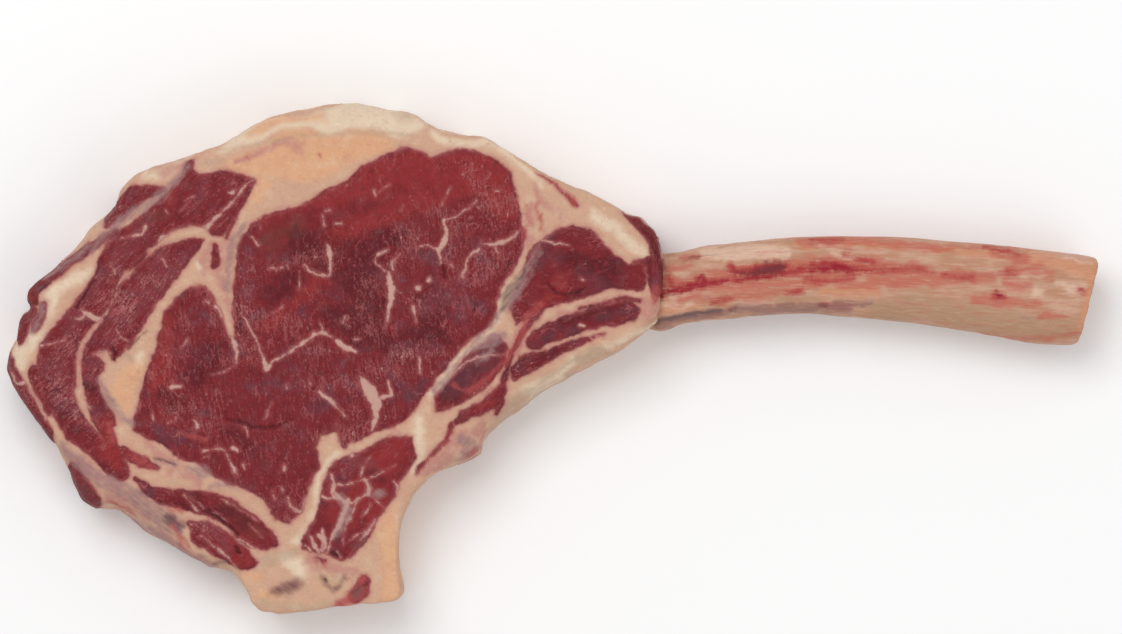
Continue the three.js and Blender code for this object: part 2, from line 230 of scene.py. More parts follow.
depth = blurred(depth, 3)
inwards = unit(np.stack(np.gradient(blurred(depth, 8), NET_STEP), -1).reshape(-1, 2))
middle_depth = (depth[:-1, :-1] + depth[1:, :-1] + depth[1:, 1:] + depth[:-1, 1:]) / 4
depth = depth.ravel()

# A square of the net is kept where its middle is in the slab. Its corners go round anticlockwise.
number = np.arange(len(net)).reshape(net_shape)
squares = np.stack([number[:-1, :-1], number[1:, :-1], number[1:, 1:], number[:-1, 1:]], -1)
kept = middle_depth > 0
on_rim = np.zeros(len(net), bool)
on_rim[squares[~kept]] = True
in_net = np.zeros(len(net), bool)
in_net[squares[kept]] = True
on_rim &= in_net
squares = squares[kept]
net[on_rim] -= depth[on_rim, None] * inwards[on_rim]
depth[on_rim] = 0
depth = np.maximum(depth, 0)


def rounding_at(places):
    """Radius between side and cut face: the mean of the given ones, each over its distance cubed."""
    total = np.zeros(len(places))
    weights = np.zeros(len(places))
    for x, y, radius in ROUNDINGS:
        weight = 1 / (np.hypot(places[:, 0] - x, places[:, 1] - y) ** 3 + 1)
        total += weight * radius
        weights += weight
    return total / weights


def over_the_side(radius, wall_top):
    """Carries the rim zone of the net over the slab's side, and gives each corner's inset, height and lean.

    The zone is shared out between the upright side, a quarter circle and the way in over the face,
    by their lengths, with a larger share for the circle. Inset is how far inside the outline the
    corner ends, height is counted from half height, and lean goes from 0 on the upright side to 1
    on the level face.
    """
    bulge = SIDE_BULGE * radius_above
    zone = np.maximum(RIM_ZONE * radius_above, LEAST_RIM_ZONE)
    wall = wall_top - radius
    arc = np.pi / 2 * radius
    face = zone - radius - bulge
    arc_share = arc + ROUNDING_EXTRA
    shares = np.cumsum([SIDE_SHARE * wall, arc_share, FACE_SHARE * face], axis=0)
    spent = np.minimum(depth / zone, 1) * shares[2]
    way = np.minimum(spent, shares[0]) / SIDE_SHARE
    way += np.clip(spent - shares[0], 0, arc_share) * arc / arc_share
    way += np.maximum(spent - shares[1], 0) / FACE_SHARE
    turn = np.clip((way - wall) / radius, 0, np.pi / 2)
    up_wall = np.clip(way / wall, 0, 1)
    inset = bulge * up_wall**2 + radius * (1 - np.cos(turn)) + np.maximum(way - wall - arc, 0)
    inset += np.maximum(depth - zone, 0)
    height = wall * up_wall + radius * np.sin(turn)
    return inset, height, np.sin(turn)


radius_above = rounding_at(net)
radius_below = np.maximum(UNDER_ROUNDING * radius_above, LEAST_UNDER_ROUNDING)
inset, height, lean_above = over_the_side(radius_above, SLAB_HEIGHT - WIDEST_HEIGHT)
above = net + (inset - depth)[:, None] * inwards
height_above = WIDEST_HEIGHT + height
inset, height, lean_below = over_the_side(radius_below, WIDEST_HEIGHT)
below = net + (inset - depth)[:, None] * inwards
height_below = WIDEST_HEIGHT - height

# Each square belongs to the muscle it lies in, or else to the fat. The corners between two
# muscles or between muscle and fat move onto the muscle's outline.
muscle_depths = np.array([depth_inside(above, muscle_outlines[name]) for name in MUSCLES])
square_depths = muscle_depths[:, squares].mean(2)
owner = np.where(square_depths.max(0) > 0, square_depths.argmax(0), len(MUSCLES))
owners_seen = np.zeros((len(MUSCLES) + 1, len(net)), bool)
for index in range(len(MUSCLES) + 1):
    owners_seen[index, squares[owner == index]] = True
between = np.flatnonzero((owners_seen.sum(0) > 1) & ~on_rim)
nearest = np.abs(muscle_depths[:, between]).argmin(0)
furthest_move = 0.6 * NET_STEP
for index, name in enumerate(MUSCLES):
    moved = between[nearest == index]
    if len(moved):
        here = depth_inside(above[moved], muscle_outlines[name])
        slope = unit(np.stack([
            depth_inside(above[moved] + step, muscle_outlines[name]) - here
            for step in ((0.1, 0), (0, 0.1))
        ], 1))
        shift = np.clip(here, -furthest_move, furthest_move)[:, None] * slope
        above[moved] -= shift
        below[moved] -= shift

# What shows on the cut face is painted by strokes given in millimetres: x, y and width at
# places along each stroke. First come the things with an edge. Marbling is fat grown through the
# lean, the scraps are lean left in the fat, creases and folds are cut or pressed in, and the skins
# are the grey tissue between muscles.

MARBLING = [
    [(-127, 19.8, 1.9), (-123.5, 15.2, 1.5), (-122, 9.1, 1.5), (-119.7, 4.9, 1.7), (-119.4, 0, 1.1),
     (-119.4, -3, 0.6)],
    [(-117.1, 17.1, 0.8), (-115.2, 13.7, 1.1), (-112.1, 7.6, 1.1), (-109.5, 1.5, 1.1), (-108, -4.2, 1.9)],
    [(-108, -4.6, 1.9), (-105.3, -1.1, 1.1), (-99.2, 1.9, 1.3), (-94.3, 5.7, 1.5), (-89.7, 8.8, 1.5),
     (-85.5, 9.5, 1.7), (-82.9, 8, 0.6)],
    [(-86.7, 10.3, 0.9), (-87.4, 13.7, 0.4)],
    [(-81.4, 6.5, 1.9), (-77.9, 3.8, 2.7), (-73.8, 1.9, 0.9)],
    [(-74.1, 6.8, 1.1), (-72.2, 7.6, 1.1)],
    [(-119.4, -3, 0.5), (-123.5, -4.9, 0.5), (-128.1, -6.4, 0.6)],
    [(-62, 32.7, 1.1), (-61.6, 30.4, 2.7), (-60.5, 26.6, 3.6), (-60.8, 22.4, 2.3), (-61.2, 17.1, 1.3),
     (-62.4, 12.2, 0.4)],
    [(-63.1, 33.1, 0.6), (-65.8, 36.1, 0.6), (-66.5, 38, 1.1), (-65.4, 39.5, 1.3), (-61.6, 41.4, 0.9)],
    [(-60.1, 33.5, 0.9), (-59.7, 36.9, 1.1), (-57, 39.1, 0.9)],
    [(-52.5, 19.8, 1.5), (-51.7, 16.7, 0.9), (-51.3, 13.3, 0.4)],
    [(-50.6, 26.6, 2.3), (-49.8, 26.6, 2.3)],
    [(-46.4, 29.3, 1.9), (-46, 29.6, 1.9)],
    [(-49.8, 0.4, 0.8), (-49.4, -3, 1.3), (-49.4, -6.1, 0.6)],
    [(-93.5, 35.4, 0.9), (-90.9, 33.1, 1.3), (-87.8, 31.5, 1.3), (-84.4, 31.2, 1.1)],
    [(-83.6, 31.9, 1.1), (-83.3, 35.4, 1.5), (-83.6, 39.9, 2.3), (-85.2, 44.1, 0.6)],
    [(-95, 31.2, 0.8), (-95.4, 26.2, 0.6)],
    [(-106.8, 34.2, 0.9), (-104.9, 34.2, 0.6)],
    [(-102.3, 34.2, 0.9), (-101.5, 34.2, 0.6)],
    [(-104.5, 17.1, 0.8), (-101.9, 19.4, 0.6)],
    [(-113.3, 46, 0.9), (-111, 43, 0.6)],
    [(-110.2, 50.2, 0.8), (-109.9, 48.7, 0.4)],
    [(-87.1, 54.7, 0.9), (-84, 55.9, 0.9)],
    [(-86.7, 54.3, 1.1), (-85.5, 50.5, 0.6)],
    [(-81.7, 51.3, 0.9), (-79.1, 51.3, 0.6)],
    [(-66.9, 63.8, 1.1), (-66.5, 61.2, 0.8)],
    [(-65.4, 62.7, 0.6), (-61.2, 66.1, 0.6)],
    [(-55.9, 57.8, 0.8), (-56.3, 56.2, 0.4)],
    [(-28.2, 59.7, 0.6), (-31.2, 56.6, 1.3), (-35.4, 54.3, 1.3), (-39.9, 52.1, 1.1)],
    [(-40.3, 52.5, 1.1), (-39.6, 47.1, 1.7), (-40.3, 43.3, 2.3), (-42.2, 41, 2.3), (-41.1, 36.1, 0.9)],
    [(-42.6, 41.4, 1.5), (-46, 42.6, 0.9), (-49.4, 42.2, 0.6)],
    [(-38, 64.6, 0.6), (-40.3, 60.4, 0.6), (-42.2, 56.2, 0.5)],
    [(-25.1, 43.3, 0.9), (-20.2, 43.3, 1.7), (-15.6, 45.2, 1.5), (-11.4, 48.7, 0.9)],
    [(-20.6, 42.6, 0.9), (-19, 38.4, 0.5)],
    [(-26.6, 41.4, 1.1), (-31.2, 38, 1.3), (-32, 34.6, 1.3), (-33.9, 30.8, 1.1)],
    [(-37.3, 35.7, 1.1), (-36.5, 34.2, 0.8)],
    [(-20.6, 63.8, 1.1), (-19.8, 63.8, 1.1)],
    [(-23.2, 69.9, 0.6), (-24, 67.7, 0.4)],
    [(-71.9, -7.2, 1.1), (-71.1, -8.4, 1.1)],
    [(-70.7, -9.5, 3.8), (-68.1, -13.3, 5.7), (-65.8, -18.2, 4.2), (-66.5, -23.2, 1.9),
     (-68.1, -27.3, 1.9)],
    [(-61.2, -9.1, 1.3), (-60.5, -13.7, 1.9), (-63.9, -15.2, 1.9)],
    [(-87.8, -12.9, 1.9), (-83.6, -15.9, 1.9), (-77.6, -22.4, 0.6)],
    [(-99.6, -10.2, 0.8), (-100, -11.8, 0.6)],
    [(-86.3, -7.6, 0.8), (-85.9, -9.5, 0.4)],
    [(-91.6, -8.7, 0.8), (-91.2, -10.2, 0.6)],
    [(-77.9, 16, 0.6), (-78.3, 13.3, 0.4)],
    [(-108.7, -23.2, 0.5), (-105.7, -17.5, 0.6)],
    [(-99.6, -53.2, 0.9), (-98.1, -57, 1.3), (-95, -58.9, 1.5), (-93.1, -55.1, 1.3), (-92.8, -52.4, 0.4)],
    [(-99.6, -60.4, 0.8), (-97.3, -63.8, 1.1)],
    [(-101.1, -41, 1.1), (-101.1, -42.9, 1.1)],
    [(-105.3, -50.5, 0.8), (-104.5, -54, 0.5)],
    [(-102.3, -49, 0.8), (-102.3, -50.9, 0.4)],
    [(-131.9, -35.7, 1.3), (-127.7, -34.6, 1.1), (-123.9, -35, 0.9)],
    [(-123.5, -35.7, 0.9), (-120.1, -42.5, 0.9), (-118.6, -44.8, 0.6)],
    [(-120.1, -33.8, 2.3), (-118.6, -35, 1.9)],
    [(-115.9, -26.6, 0.8), (-115.2, -29.3, 0.6)],
    [(-116.3, -40.3, 0.8), (-115.9, -41.8, 0.9)],
    [(-144.1, -11.4, 1.5), (-140.6, -10.6, 1.9)],
    [(-137.6, 7.6, 0.8), (-139.9, 4.2, 0.6)],
    [(-130.8, 22.1, 1.1), (-129.2, 20.9, 0.8)],
    [(-135.3, -23.9, 1.1), (-134.2, -26.2, 1.5)],
    [(-145.2, -24.3, 0.6), (-142.5, -23.6, 0.6)],
    [(-150.9, -21.7, 0.8), (-150.5, -23.9, 0.6)],
    [(-163.1, 45.6, 0.5), (-158.5, 46, 0.9), (-155.1, 47.5, 1.7), (-153.6, 49.8, 1.5)],
    [(-130.8, 48.7, 1.9), (-127.7, 52.8, 1.5), (-122.4, 57.4, 1.1), (-118.2, 62, 1.1), (-115.6, 66.1, 1.3),
     (-111.8, 67.7, 1.1)],
    [(-121.3, 62.7, 1.7), (-120.1, 63.1, 1.7)],
    [(-146, 56.2, 0.9), (-145.2, 55.1, 0.8)],
    [(-140.3, 56.6, 0.6), (-136.8, 58.9, 0.6)],
    [(-138.7, 60, 0.6), (-136.1, 61.6, 0.5)],
    [(-193.5, 4.9, 1.1), (-188.9, 5.7, 0.9), (-184.7, 6.8, 0.6)],
    [(-171, -45.6, 0.4), (-161.5, -50.9, 0.6), (-151.3, -59.3, 0.6)],
    [(-160.4, -55.1, 0.4), (-152, -62.3, 0.8), (-146, -65.7, 0.4)],
    [(-178.6, 18.2, 0.9), (-175.6, 16.4, 2.7), (-171.4, 14.1, 2.3)],
    [(-180.2, 14.8, 0.8), (-176.4, 16, 1.1)],
    [(-205.2, -5.3, 0.9), (-203.3, -9.9, 1.1), (-199.5, -9.9, 1.5), (-195.7, -16.3, 1.9),
     (-191.6, -23.6, 1.9)],
    [(-148.2, 44.9, 2.3), (-142.5, 46.4, 2.7), (-136.8, 47.9, 2.7), (-131.1, 49, 2.3)],
    [(-139.1, -52.4, 0.6), (-136.5, -55.1, 0.8), (-133.8, -58.1, 0.6)],
    [(-136.8, -53.2, 0.4), (-133, -55.1, 0.5), (-131.1, -57.4, 0.4)],
    [(-128.5, -50.1, 1.5), (-124.7, -49, 2.3), (-120.9, -50.5, 1.5)],
    [(-133, -67.6, 0.6), (-127.7, -71, 0.9), (-123.2, -75.2, 1.1), (-117.8, -81.3, 0.8),
     (-114, -85.9, 0.6)],
    [(-166.5, -47.9, 0.3), (-159.6, -52.8, 0.5), (-153.6, -57.4, 0.3)],
    [(-155.8, -50.9, 0.3), (-149, -56.2, 0.5), (-142.2, -60.4, 0.3)],
    [(-124.7, -54, 0.4), (-117.8, -57, 0.5), (-111, -61.9, 0.4)],
    [(-128.1, -58.5, 0.4), (-122.4, -61.9, 0.5)],
    [(-114, -63.5, 0.5), (-109.5, -68.4, 0.4)],
    [(-118.6, -68.4, 1.1), (-114, -71.8, 1.1), (-110.6, -74.1, 0.8)],
    [(-179.4, -15.2, 0.5), (-176.4, -17.8, 1.1), (-174.1, -19.4, 0.8)],
    [(-188.1, -9.9, 0.6), (-186.2, -8, 0.5)],
    [(-166.5, 36.5, 0.5), (-165.7, 32.3, 0.6)],
    [(-147.1, 37.6, 0.8), (-146, 34.6, 0.4)],
    [(-158.9, 33.1, 0.5), (-161.9, 29.3, 0.5)],
    [(-165, 10.6, 0.5), (-162.3, 7.6, 0.8), (-160.4, 6.1, 0.4)],
    [(-174.1, 1.5, 0.9), (-171.4, 2.7, 1.1), (-168, 2.3, 1.1), (-168.4, -2.3, 1.1), (-169.5, -6.8, 1.1)],
    [(-70.3, -45.6, 1.1), (-69.2, -48.6, 1.9), (-68.8, -52, 1.7)],
    [(-68.1, -45.2, 0.6), (-64.3, -43.7, 0.7), (-58.9, -41, 0.3)],
    [(-71.9, -45.2, 0.6), (-71.5, -41.8, 0.8), (-68.4, -37.6, 0.3)],
    [(-76.8, -47.9, 0.4), (-73, -46.7, 0.8), (-70.7, -46, 0.8)],
    [(-75.3, -37.2, 1.9), (-76, -33.8, 1.1)],
    [(-83.3, -44.1, 1.1), (-82.1, -48.6, 1.7), (-82.5, -52.8, 1.5)],
    [(-82.9, -47.9, 0.9), (-77.9, -47.9, 0.8), (-73, -46.7, 0.9), (-69.6, -46, 1.3)],
    [(-86.3, -52.8, 1.3), (-80.6, -53.6, 1.1), (-75.3, -55.1, 1.5)],
    [(-76.8, -54, 2.3), (-78.7, -59.6, 2.1), (-80.6, -64.6, 1.9)],
    [(-86.7, -66.1, 1.7), (-85.5, -71, 1.7), (-87.4, -75.2, 1.5)],
    [(-66.5, -61.2, 1.1), (-69.2, -65.3, 1.5), (-72.2, -69.5, 1.3)],
    [(-82.5, -49.4, 0.8), (-81, -52.4, 1.3), (-78.3, -54.7, 1.5), (-74.9, -55.1, 1.1), (-71.9, -53.2, 1.1),
     (-69.6, -51.7, 1.1)],
    [(-73.4, -54, 1.1), (-74.9, -57.8, 1.3), (-76.4, -61.2, 0.8)],
    [(-77.6, -55.5, 1.5), (-79.5, -60, 1.1), (-81.4, -65.3, 1.5), (-83.3, -69.5, 1.3), (-85.2, -74.5, 1.1)],
    [(-75.3, -58.5, 0.8), (-77.6, -62.3, 0.6), (-77.9, -66.1, 0.6)],
    [(-80.2, -61.5, 0.6), (-78.7, -66.5, 0.6), (-78.7, -71, 0.5)],
    [(-67.7, -52.4, 0.8), (-65.4, -54.7, 1.1), (-63.1, -57, 0.6)],
    [(-59.3, -47.1, 1.1), (-57.4, -49, 1.9), (-57.8, -51.7, 1.5)],
    [(-72.2, -60.4, 0.4), (-69.6, -58.1, 0.6), (-68.1, -55.1, 0.4)],
    [(-88.6, -67.2, 1.5), (-85.9, -69.1, 1.9), (-87.4, -72.2, 1.3), (-89, -75.2, 1.1)],
    [(-93.1, -71.4, 0.8), (-90.5, -73.7, 0.8)],
    [(-91.6, -67.6, 1.1), (-89.7, -71, 1.9), (-87.4, -75.2, 1.5)],
    [(-75.3, -68.8, 0.8), (-73, -66.9, 0.9), (-70.3, -65.3, 0.8)],
    [(-81.4, -73.3, 0.8), (-79.5, -75.6, 0.8)],
    [(-79.1, -42.5, 0.6), (-78.3, -44.8, 0.8)],
    [(-17.1, 1.2, 0.6), (-22.8, 1.2, 0.9), (-27.4, 0.4, 1.1), (-33.5, -2.7, 1.1), (-38.8, -6.8, 1.1),
     (-41.8, -9.9, 0.8)],
    [(-3.5, 44.5, 0.8), (2.2, 43.7, 1.1), (7.6, 42.6, 0.8)],
    [(11.7, 30, 0.8), (12.5, 29.6, 0.8)],
    [(11.7, 12.6, 1.5), (12.5, 12.2, 1.5)],
]
LEAN_SCRAPS = [
    [(-165.7, 47.9, 3.4), (-171.8, 44.1, 3.8), (-179.4, 39.9, 4.2), (-185.9, 35.4, 4.6),
     (-193.5, 30.4, 6.5), (-198.4, 25.9, 8.4), (-197.3, 22.1, 5.3)],
    [(-147.1, 64.2, 2.3), (-152, 63.5, 4.6), (-158.1, 62, 8.4), (-162.7, 57.8, 8.4), (-166.5, 54, 6.1),
     (-168.4, 51.3, 3.4)],
    [(-136.8, 74.1, 3.4), (-138, 70.3, 4.2)],
    [(-198, 17.5, 4.9), (-201.1, 13.3, 6.1), (-202.6, 8, 4.6)],
    [(-192.3, 20.5, 2.7), (-193.8, 16, 3.8), (-196.1, 11.4, 3.4)],
    [(-151.7, 44.9, 1.9), (-156.2, 36.5, 2.3), (-163.8, 33.1, 2.3), (-167.2, 23.6, 2.7), (-173.7, 16, 2.3),
     (-179.8, 7.6, 2.7), (-181.7, -1.5, 2.3), (-180.9, -9.9, 1.5)],
    [(-147.5, 41.8, 1.9), (-152.4, 32.7, 2.3), (-160.4, 28.9, 2.3), (-163.4, 21.7, 2.7),
     (-169.5, 12.6, 2.7), (-175.6, 4.9, 2.3), (-176.7, -1.5, 1.5)],
    [(-207.5, -2.3, 4.6), (-205.6, -9.1, 8.4), (-201.4, -16.7, 9.1), (-196.1, -23.6, 7.6),
     (-191.6, -28.5, 4.6)],
    [(-196.1, -5.3, 5.3), (-194.6, -12.9, 3.8), (-190.8, -20.5, 3.8)],
    [(-182.4, -41.4, 4.6), (-180.5, -48.2, 9.9), (-176, -55.1, 8.4)],
    [(-174.1, -17.5, 3), (-171.4, -23.6, 5.3), (-168.4, -28.9, 5.7), (-166.9, -35, 5.3),
     (-164.6, -40.3, 3.4), (-161.2, -45.2, 1.5)],
    [(-175.6, -13.7, 2.3), (-172.6, -19, 2.3)],
    [(-79.5, -29.6, 2.3), (-78.3, -33.4, 2.3)],
    [(-162.3, -35, 3), (-158.9, -37.6, 4.6), (-153.9, -39.9, 4.2), (-149.8, -41.8, 1.5)],
    [(-157.4, -46.3, 1.9), (-154.7, -47.9, 2.3), (-152, -49, 1.5)],
    [(-127.3, 42.6, 2.3), (-127, 38.8, 3.4), (-127.7, 35.4, 2.7)],
    [(-119.4, 55.5, 2.3), (-120.9, 51.7, 1.9), (-123.2, 45.6, 1.1)],
    [(-3.8, 17.5, 1.9), (-10.7, 9.5, 2.3), (-14.5, 2.3, 1.5), (-16.8, -5.3, 1.9), (-17.9, -11.4, 2.3)],
    [(-37.3, -25.1, 1.5), (-39.6, -31.5, 1.5), (-45.3, -37.2, 1.5), (-49.4, -41.4, 1.5),
     (-50.6, -44.1, 1.1)],
    [(-88.6, -75.2, 1.1), (-85.5, -77.1, 1.5)],
    [(-70.7, -84.7, 4.2), (-71.9, -88.1, 6.8), (-74.5, -91.2, 4.6)],
    [(31.9, 36.5, 1.1), (37.6, 36.5, 4.6), (41, 31.9, 7.6), (40.6, 27, 6.1)],
    [(11.4, 19, 1.1), (19.7, 20.9, 1.9), (28.5, 22.8, 1.9), (34.2, 21.7, 1.5)],
    [(-3.8, 69.9, 0.3), (2.2, 66.1, 0.6), (4.9, 63.1, 0.8), (8.7, 59.7, 1.3), (10.2, 57.8, 0.4)],
    [(-19, -12.9, 2.7), (-17.9, -17.5, 2.7), (-19.8, -21.3, 2.3)],
]
# Creases are sunk in the relief and also darkened in the finish with painted shade.
CREASES = [
    [(-123.5, -23.6, 0.4), (-118.2, -24.3, 0.6), (-113.3, -25.8, 0.8), (-108, -26.6, 0.8),
     (-102.6, -25.4, 0.6), (-97.7, -22.8, 0.4)],
    [(-40.7, 35.7, 0.4), (-40.3, 33.1, 0.8), (-40.3, 30.4, 0.4)],
    [(-28.5, 22.1, 0.4), (-28.9, 18.2, 0.9)],
    [(-15.2, 36.5, 0.6), (-17.5, 33.1, 0.6)],
    [(-98.5, 5.7, 0.6), (-97.7, 6.8, 0.6)],
    [(-73.4, -8.4, 0.6), (-74.9, -10.6, 0.4)],
    [(-173.7, 29.3, 0.8), (-176, 26.2, 1.1), (-177.9, 22.8, 1.1), (-180.2, 19.4, 0.8)],
    [(-166.5, 4.9, 0.8), (-165.7, 1.9, 1.1), (-165.3, -1.1, 0.6)],
    [(-119.4, -71, 0.9), (-118.2, -74.1, 1.1)],
    [(-63.1, 22.1, 0.3), (-64.3, 18.6, 0.5)],
    [(-131.1, -57.8, 0.6), (-126.2, -60.4, 0.9), (-121.3, -64.2, 0.9), (-118.6, -67.2, 0.6)],
    [(-83.3, -73.7, 1.1), (-81, -74.8, 1.1)],
    [(-0.8, 28.1, 0.4), (2.2, 25.5, 0.8), (6.4, 23.9, 0.9), (10.6, 25.1, 0.8), (13.3, 27.4, 0.4)],
    [(-14.9, -4.9, 0.6), (-14.5, -8, 0.6)],
    [(-85.9, -84, 0.6), (-85.2, -85.5, 0.6)],
    [(-153.6, 10.3, 0.4), (-155.8, 8, 0.6), (-160.4, 3.4, 0.6)],
    [(-150.5, -38, 0.4), (-146.3, -39.5, 0.6), (-142.2, -40.7, 0.4)],
]
SILVER_SKIN = [
    [(-137.6, 73.3, 2.7), (-145.6, 64.2, 3.4), (-150.5, 60, 3.4), (-159.3, 54.7, 3.4), (-167.2, 48.7, 3.4),
     (-172.9, 44.1, 2.7)],
    [(-167.2, 47.1, 1.9), (-178.6, 40.3, 2.3), (-185.5, 35.4, 2.3), (-191.9, 30.8, 2.3)],
    [(-193.1, 19.8, 2.3), (-194.6, 15.2, 3), (-197.3, 10.6, 2.7)],
    [(-186.2, -33.4, 3), (-178.6, -40.3, 5.3), (-171, -46.3, 6.1), (-162.7, -50.1, 6.1),
     (-155.1, -55.1, 6.8), (-148.2, -60.8, 7.6), (-142.2, -64.6, 6.1)],
    [(-159.6, -61.5, 2.7), (-150.1, -67.2, 3.8), (-138.7, -75.2, 3.8), (-127.3, -80.5, 3)],
    [(-79.8, -53.2, 2.7), (-76.8, -57.4, 3.8), (-78.7, -62.3, 3.4), (-81.4, -67.6, 2.3)],
    [(-68.8, -48.6, 1.9), (-67.7, -52.4, 2.7), (-63.1, -51.7, 2.3)],
    [(-152, -57, 5.3), (-145.2, -60, 5.3)],
    [(-129.2, -49.4, 1.1), (-124.7, -47.9, 1.5), (-119.7, -49.8, 1.1)],
    [(-116.7, 50.2, 1.9), (-120.1, 44.5, 2.7), (-122, 36.9, 2.7), (-122.8, 25.9, 2.3)],
    [(-136.8, -41.8, 3), (-131.1, -43.3, 4.6)],
    [(-149.8, -39.1, 1.1), (-142.5, -40.3, 1.5)],
    [(-4.6, 41, 2.7), (-8.4, 33.5, 3), (-12.2, 25.9, 3.4), (-16, 18.2, 2.7)],
    [(-171.4, -8.7, 1.9), (-168, -15.2, 2.7), (-163.8, -20.9, 2.7), (-159.3, -25.4, 1.9)],
    [(-19, 18.2, 1.5), (-23.2, 10.6, 1.5), (-30.4, 3.8, 1.1), (-38, -4.6, 1.9), (-43.4, -12.9, 2.3)],
    [(-32.7, -31.2, 4.9), (-28.2, -35, 5.7), (-34.2, -39.5, 3.4)],
    [(-30.4, 3, 2.3), (-23.6, 5.7, 4.6), (-17.9, 8.4, 4.6)],
    [(-27.4, -1.5, 1.9), (-22.1, 2.3, 3)],
]
DIM_SKIN = [
    [(-9.9, 32.7, 1.1), (-13.7, 28.1, 3), (-16.4, 23.6, 4.2), (-18.3, 19, 2.3)],
    [(-147.5, -60.8, 1.9), (-144.4, -62.3, 3), (-141.4, -64.2, 1.9)],
    [(-123.2, -77.9, 1.1), (-127.3, -79, 1.1)],
]
# Folds are sunk in the relief and painted darker beige in the fat: painted shade.
FOLDS_WITH_PAINTED_SHADE = [
    [(-126.6, 80.2, 0.8), (-113.3, 80.6, 1.1), (-105.7, 82.1, 1.1), (-100, 83.2, 1.1), (-90.1, 84.8, 1.1),
     (-76, 85.1, 1.1), (-63.5, 85.1, 1.1), (-51, 84.4, 0.8)],
    [(-164.6, 1.9, 1.9), (-160, -0.4, 1.9)],
    [(-132.7, -76, 1.1), (-127.3, -79, 1.5), (-122, -80.9, 1.1)],
    [(-87.4, -75.2, 1.1), (-87.8, -81.3, 0.8)],
    [(-109.5, -92, 0.8), (-102.6, -90.8, 1.1), (-95, -93.5, 0.8)],
    [(-0.8, 70.7, 0.8), (8.7, 64.6, 1.1), (19, 57, 0.8)],
    [(18.2, 2.3, 1.1), (7.6, -3, 1.5), (-3.8, -9.9, 1.1)],
    [(-30.4, -42.5, 1.1), (-22.1, -39.5, 1.5), (-19, -31.2, 1.1)],
]

# The broad strokes change the tone of the lean, of the fat or of both.
BRIGHT_LEAN = [
    [(-111.8, 55.5, 6.1), (-98.8, 60, 12.9), (-83.6, 61.6, 12.9), (-67.7, 69.2, 15.2), (-49.4, 72.2, 16.7),
     (-30.4, 72.2, 16.7), (-19, 65.4, 11.4), (-16.4, 54.3, 7.6)],
    [(-144.4, 14.4, 5.3), (-147.5, -4.6, 7.6), (-145.2, -19.8, 7.6)],
    [(-87.4, 39.1, 5.3), (-72.2, 50.5, 7.6), (-57, 58.2, 6.8), (-38, 63.8, 7.6), (-19, 63.8, 6.1)],
    [(-83.6, -46.3, 3.8), (-77.9, -61.5, 6.8), (-62.7, -36.8, 9.9), (-67.7, -61.5, 6.8)],
    [(-76, -54, 4.6), (-83.6, -61.5, 4.6)],
    [(-142.5, 68.4, 4.6), (-146.3, 60, 4.6)],
    [(-193.8, 22.1, 3.8), (-197.6, 23.6, 4.6)],
    [(-169.1, -31.2, 6.8), (-164.2, -39.5, 6.1)],
    [(-169.1, -54, 3.8), (-159.6, -59.3, 3.8)],
    [(-170.3, -25.4, 5.3), (-166.5, -31.2, 6.1), (-164.2, -35.7, 4.6)],
    [(-159.6, -36.8, 3.8), (-152, -40.3, 3.8)],
    [(-68.1, 48.3, 3.8), (-80.6, 35, 5.3), (-92, 25.5, 5.3), (-102.3, 17.1, 5.3), (-107.6, 11.4, 3.8)],
    [(2.2, 27.4, 5.3), (-1.9, 20.1, 5.3), (-5.7, 14.4, 4.6)],
    [(-19, -8.4, 3.8), (-23.6, -14.1, 4.6), (-28.9, -19, 3.4)],
    [(-119.4, -76.8, 4.6), (-114, -77.5, 6.1)],
    [(-68.4, -42.5, 7.6), (-58.9, -35, 9.1)],
    [(-5.4, 60.8, 0.8), (-3.5, 49.4, 1.5)],
    [(-123.5, -67.2, 5.3), (-112.1, -73.7, 5.3)],
    [(-28.9, -19, 3.4), (-21.3, -17.8, 3.4)],
]
DARK_LEAN = [
    [(-95.8, 42.6, 11.4), (-76, 35, 16), (-60.1, 44.9, 11.4)],
    [(-46.4, 22.1, 13.7), (-45.6, 10.6, 11.4), (-57, 3, 10.6), (-72.2, 10.6, 9.1)],
    [(-104.5, 23.6, 9.9), (-98.8, 28.5, 9.9)],
    [(-74.1, 25.9, 12.9), (-66.5, 16.4, 11.4), (-83.6, 14.4, 7.6)],
    [(-124.7, -29.6, 5.3), (-111, -33.4, 5.3)],
    [(9.5, 22.1, 4.6), (22.8, 19.8, 4.6)],
    [(9.5, 36.5, 9.1), (20.9, 35.4, 8.4)],
    [(-134.9, -54, 5.3), (-119.7, -60, 6.1)],
    [(-134.9, -8.4, 7.6), (-129.2, 3, 7.6)],
    [(-190, -4.6, 4.6), (-186.2, -15.9, 4.6), (-178.6, -27.3, 5.3)],
    [(-148.2, -54, 3.8), (-133, -57, 4.6), (-115.9, -61.5, 5.3)],
    [(-35.4, -4.6, 7.6), (-38.8, -13.7, 7.6)],
    [(-172.2, -12.9, 4.6), (-168.8, -15.9, 3.8)],
    [(-168, -39.5, 3.8), (-164.2, -43.3, 3)],
    [(-13.3, -0.8, 3.8), (-5.7, 0.8, 4.6), (3.8, 3, 3)],
    [(3.8, 15.2, 5.3), (20.9, 19.8, 5.3), (32.3, 22.1, 3)],
    [(38, 46.4, 5.3), (39.9, 36.5, 4.6)],
    [(-119.4, 17.5, 3.8), (-117.8, 10.6, 3.8)],
    [(-145.2, -14.1, 6.8), (-142.5, -19, 5.3)],
    [(-67.7, -44.1, 5.3), (-64.6, -47.1, 4.6)],
    [(-24.7, 2.3, 5.3), (-30.4, -3, 4.6)],
    [(-92, -61.5, 3.8), (-90.5, -54, 3.8)],
]
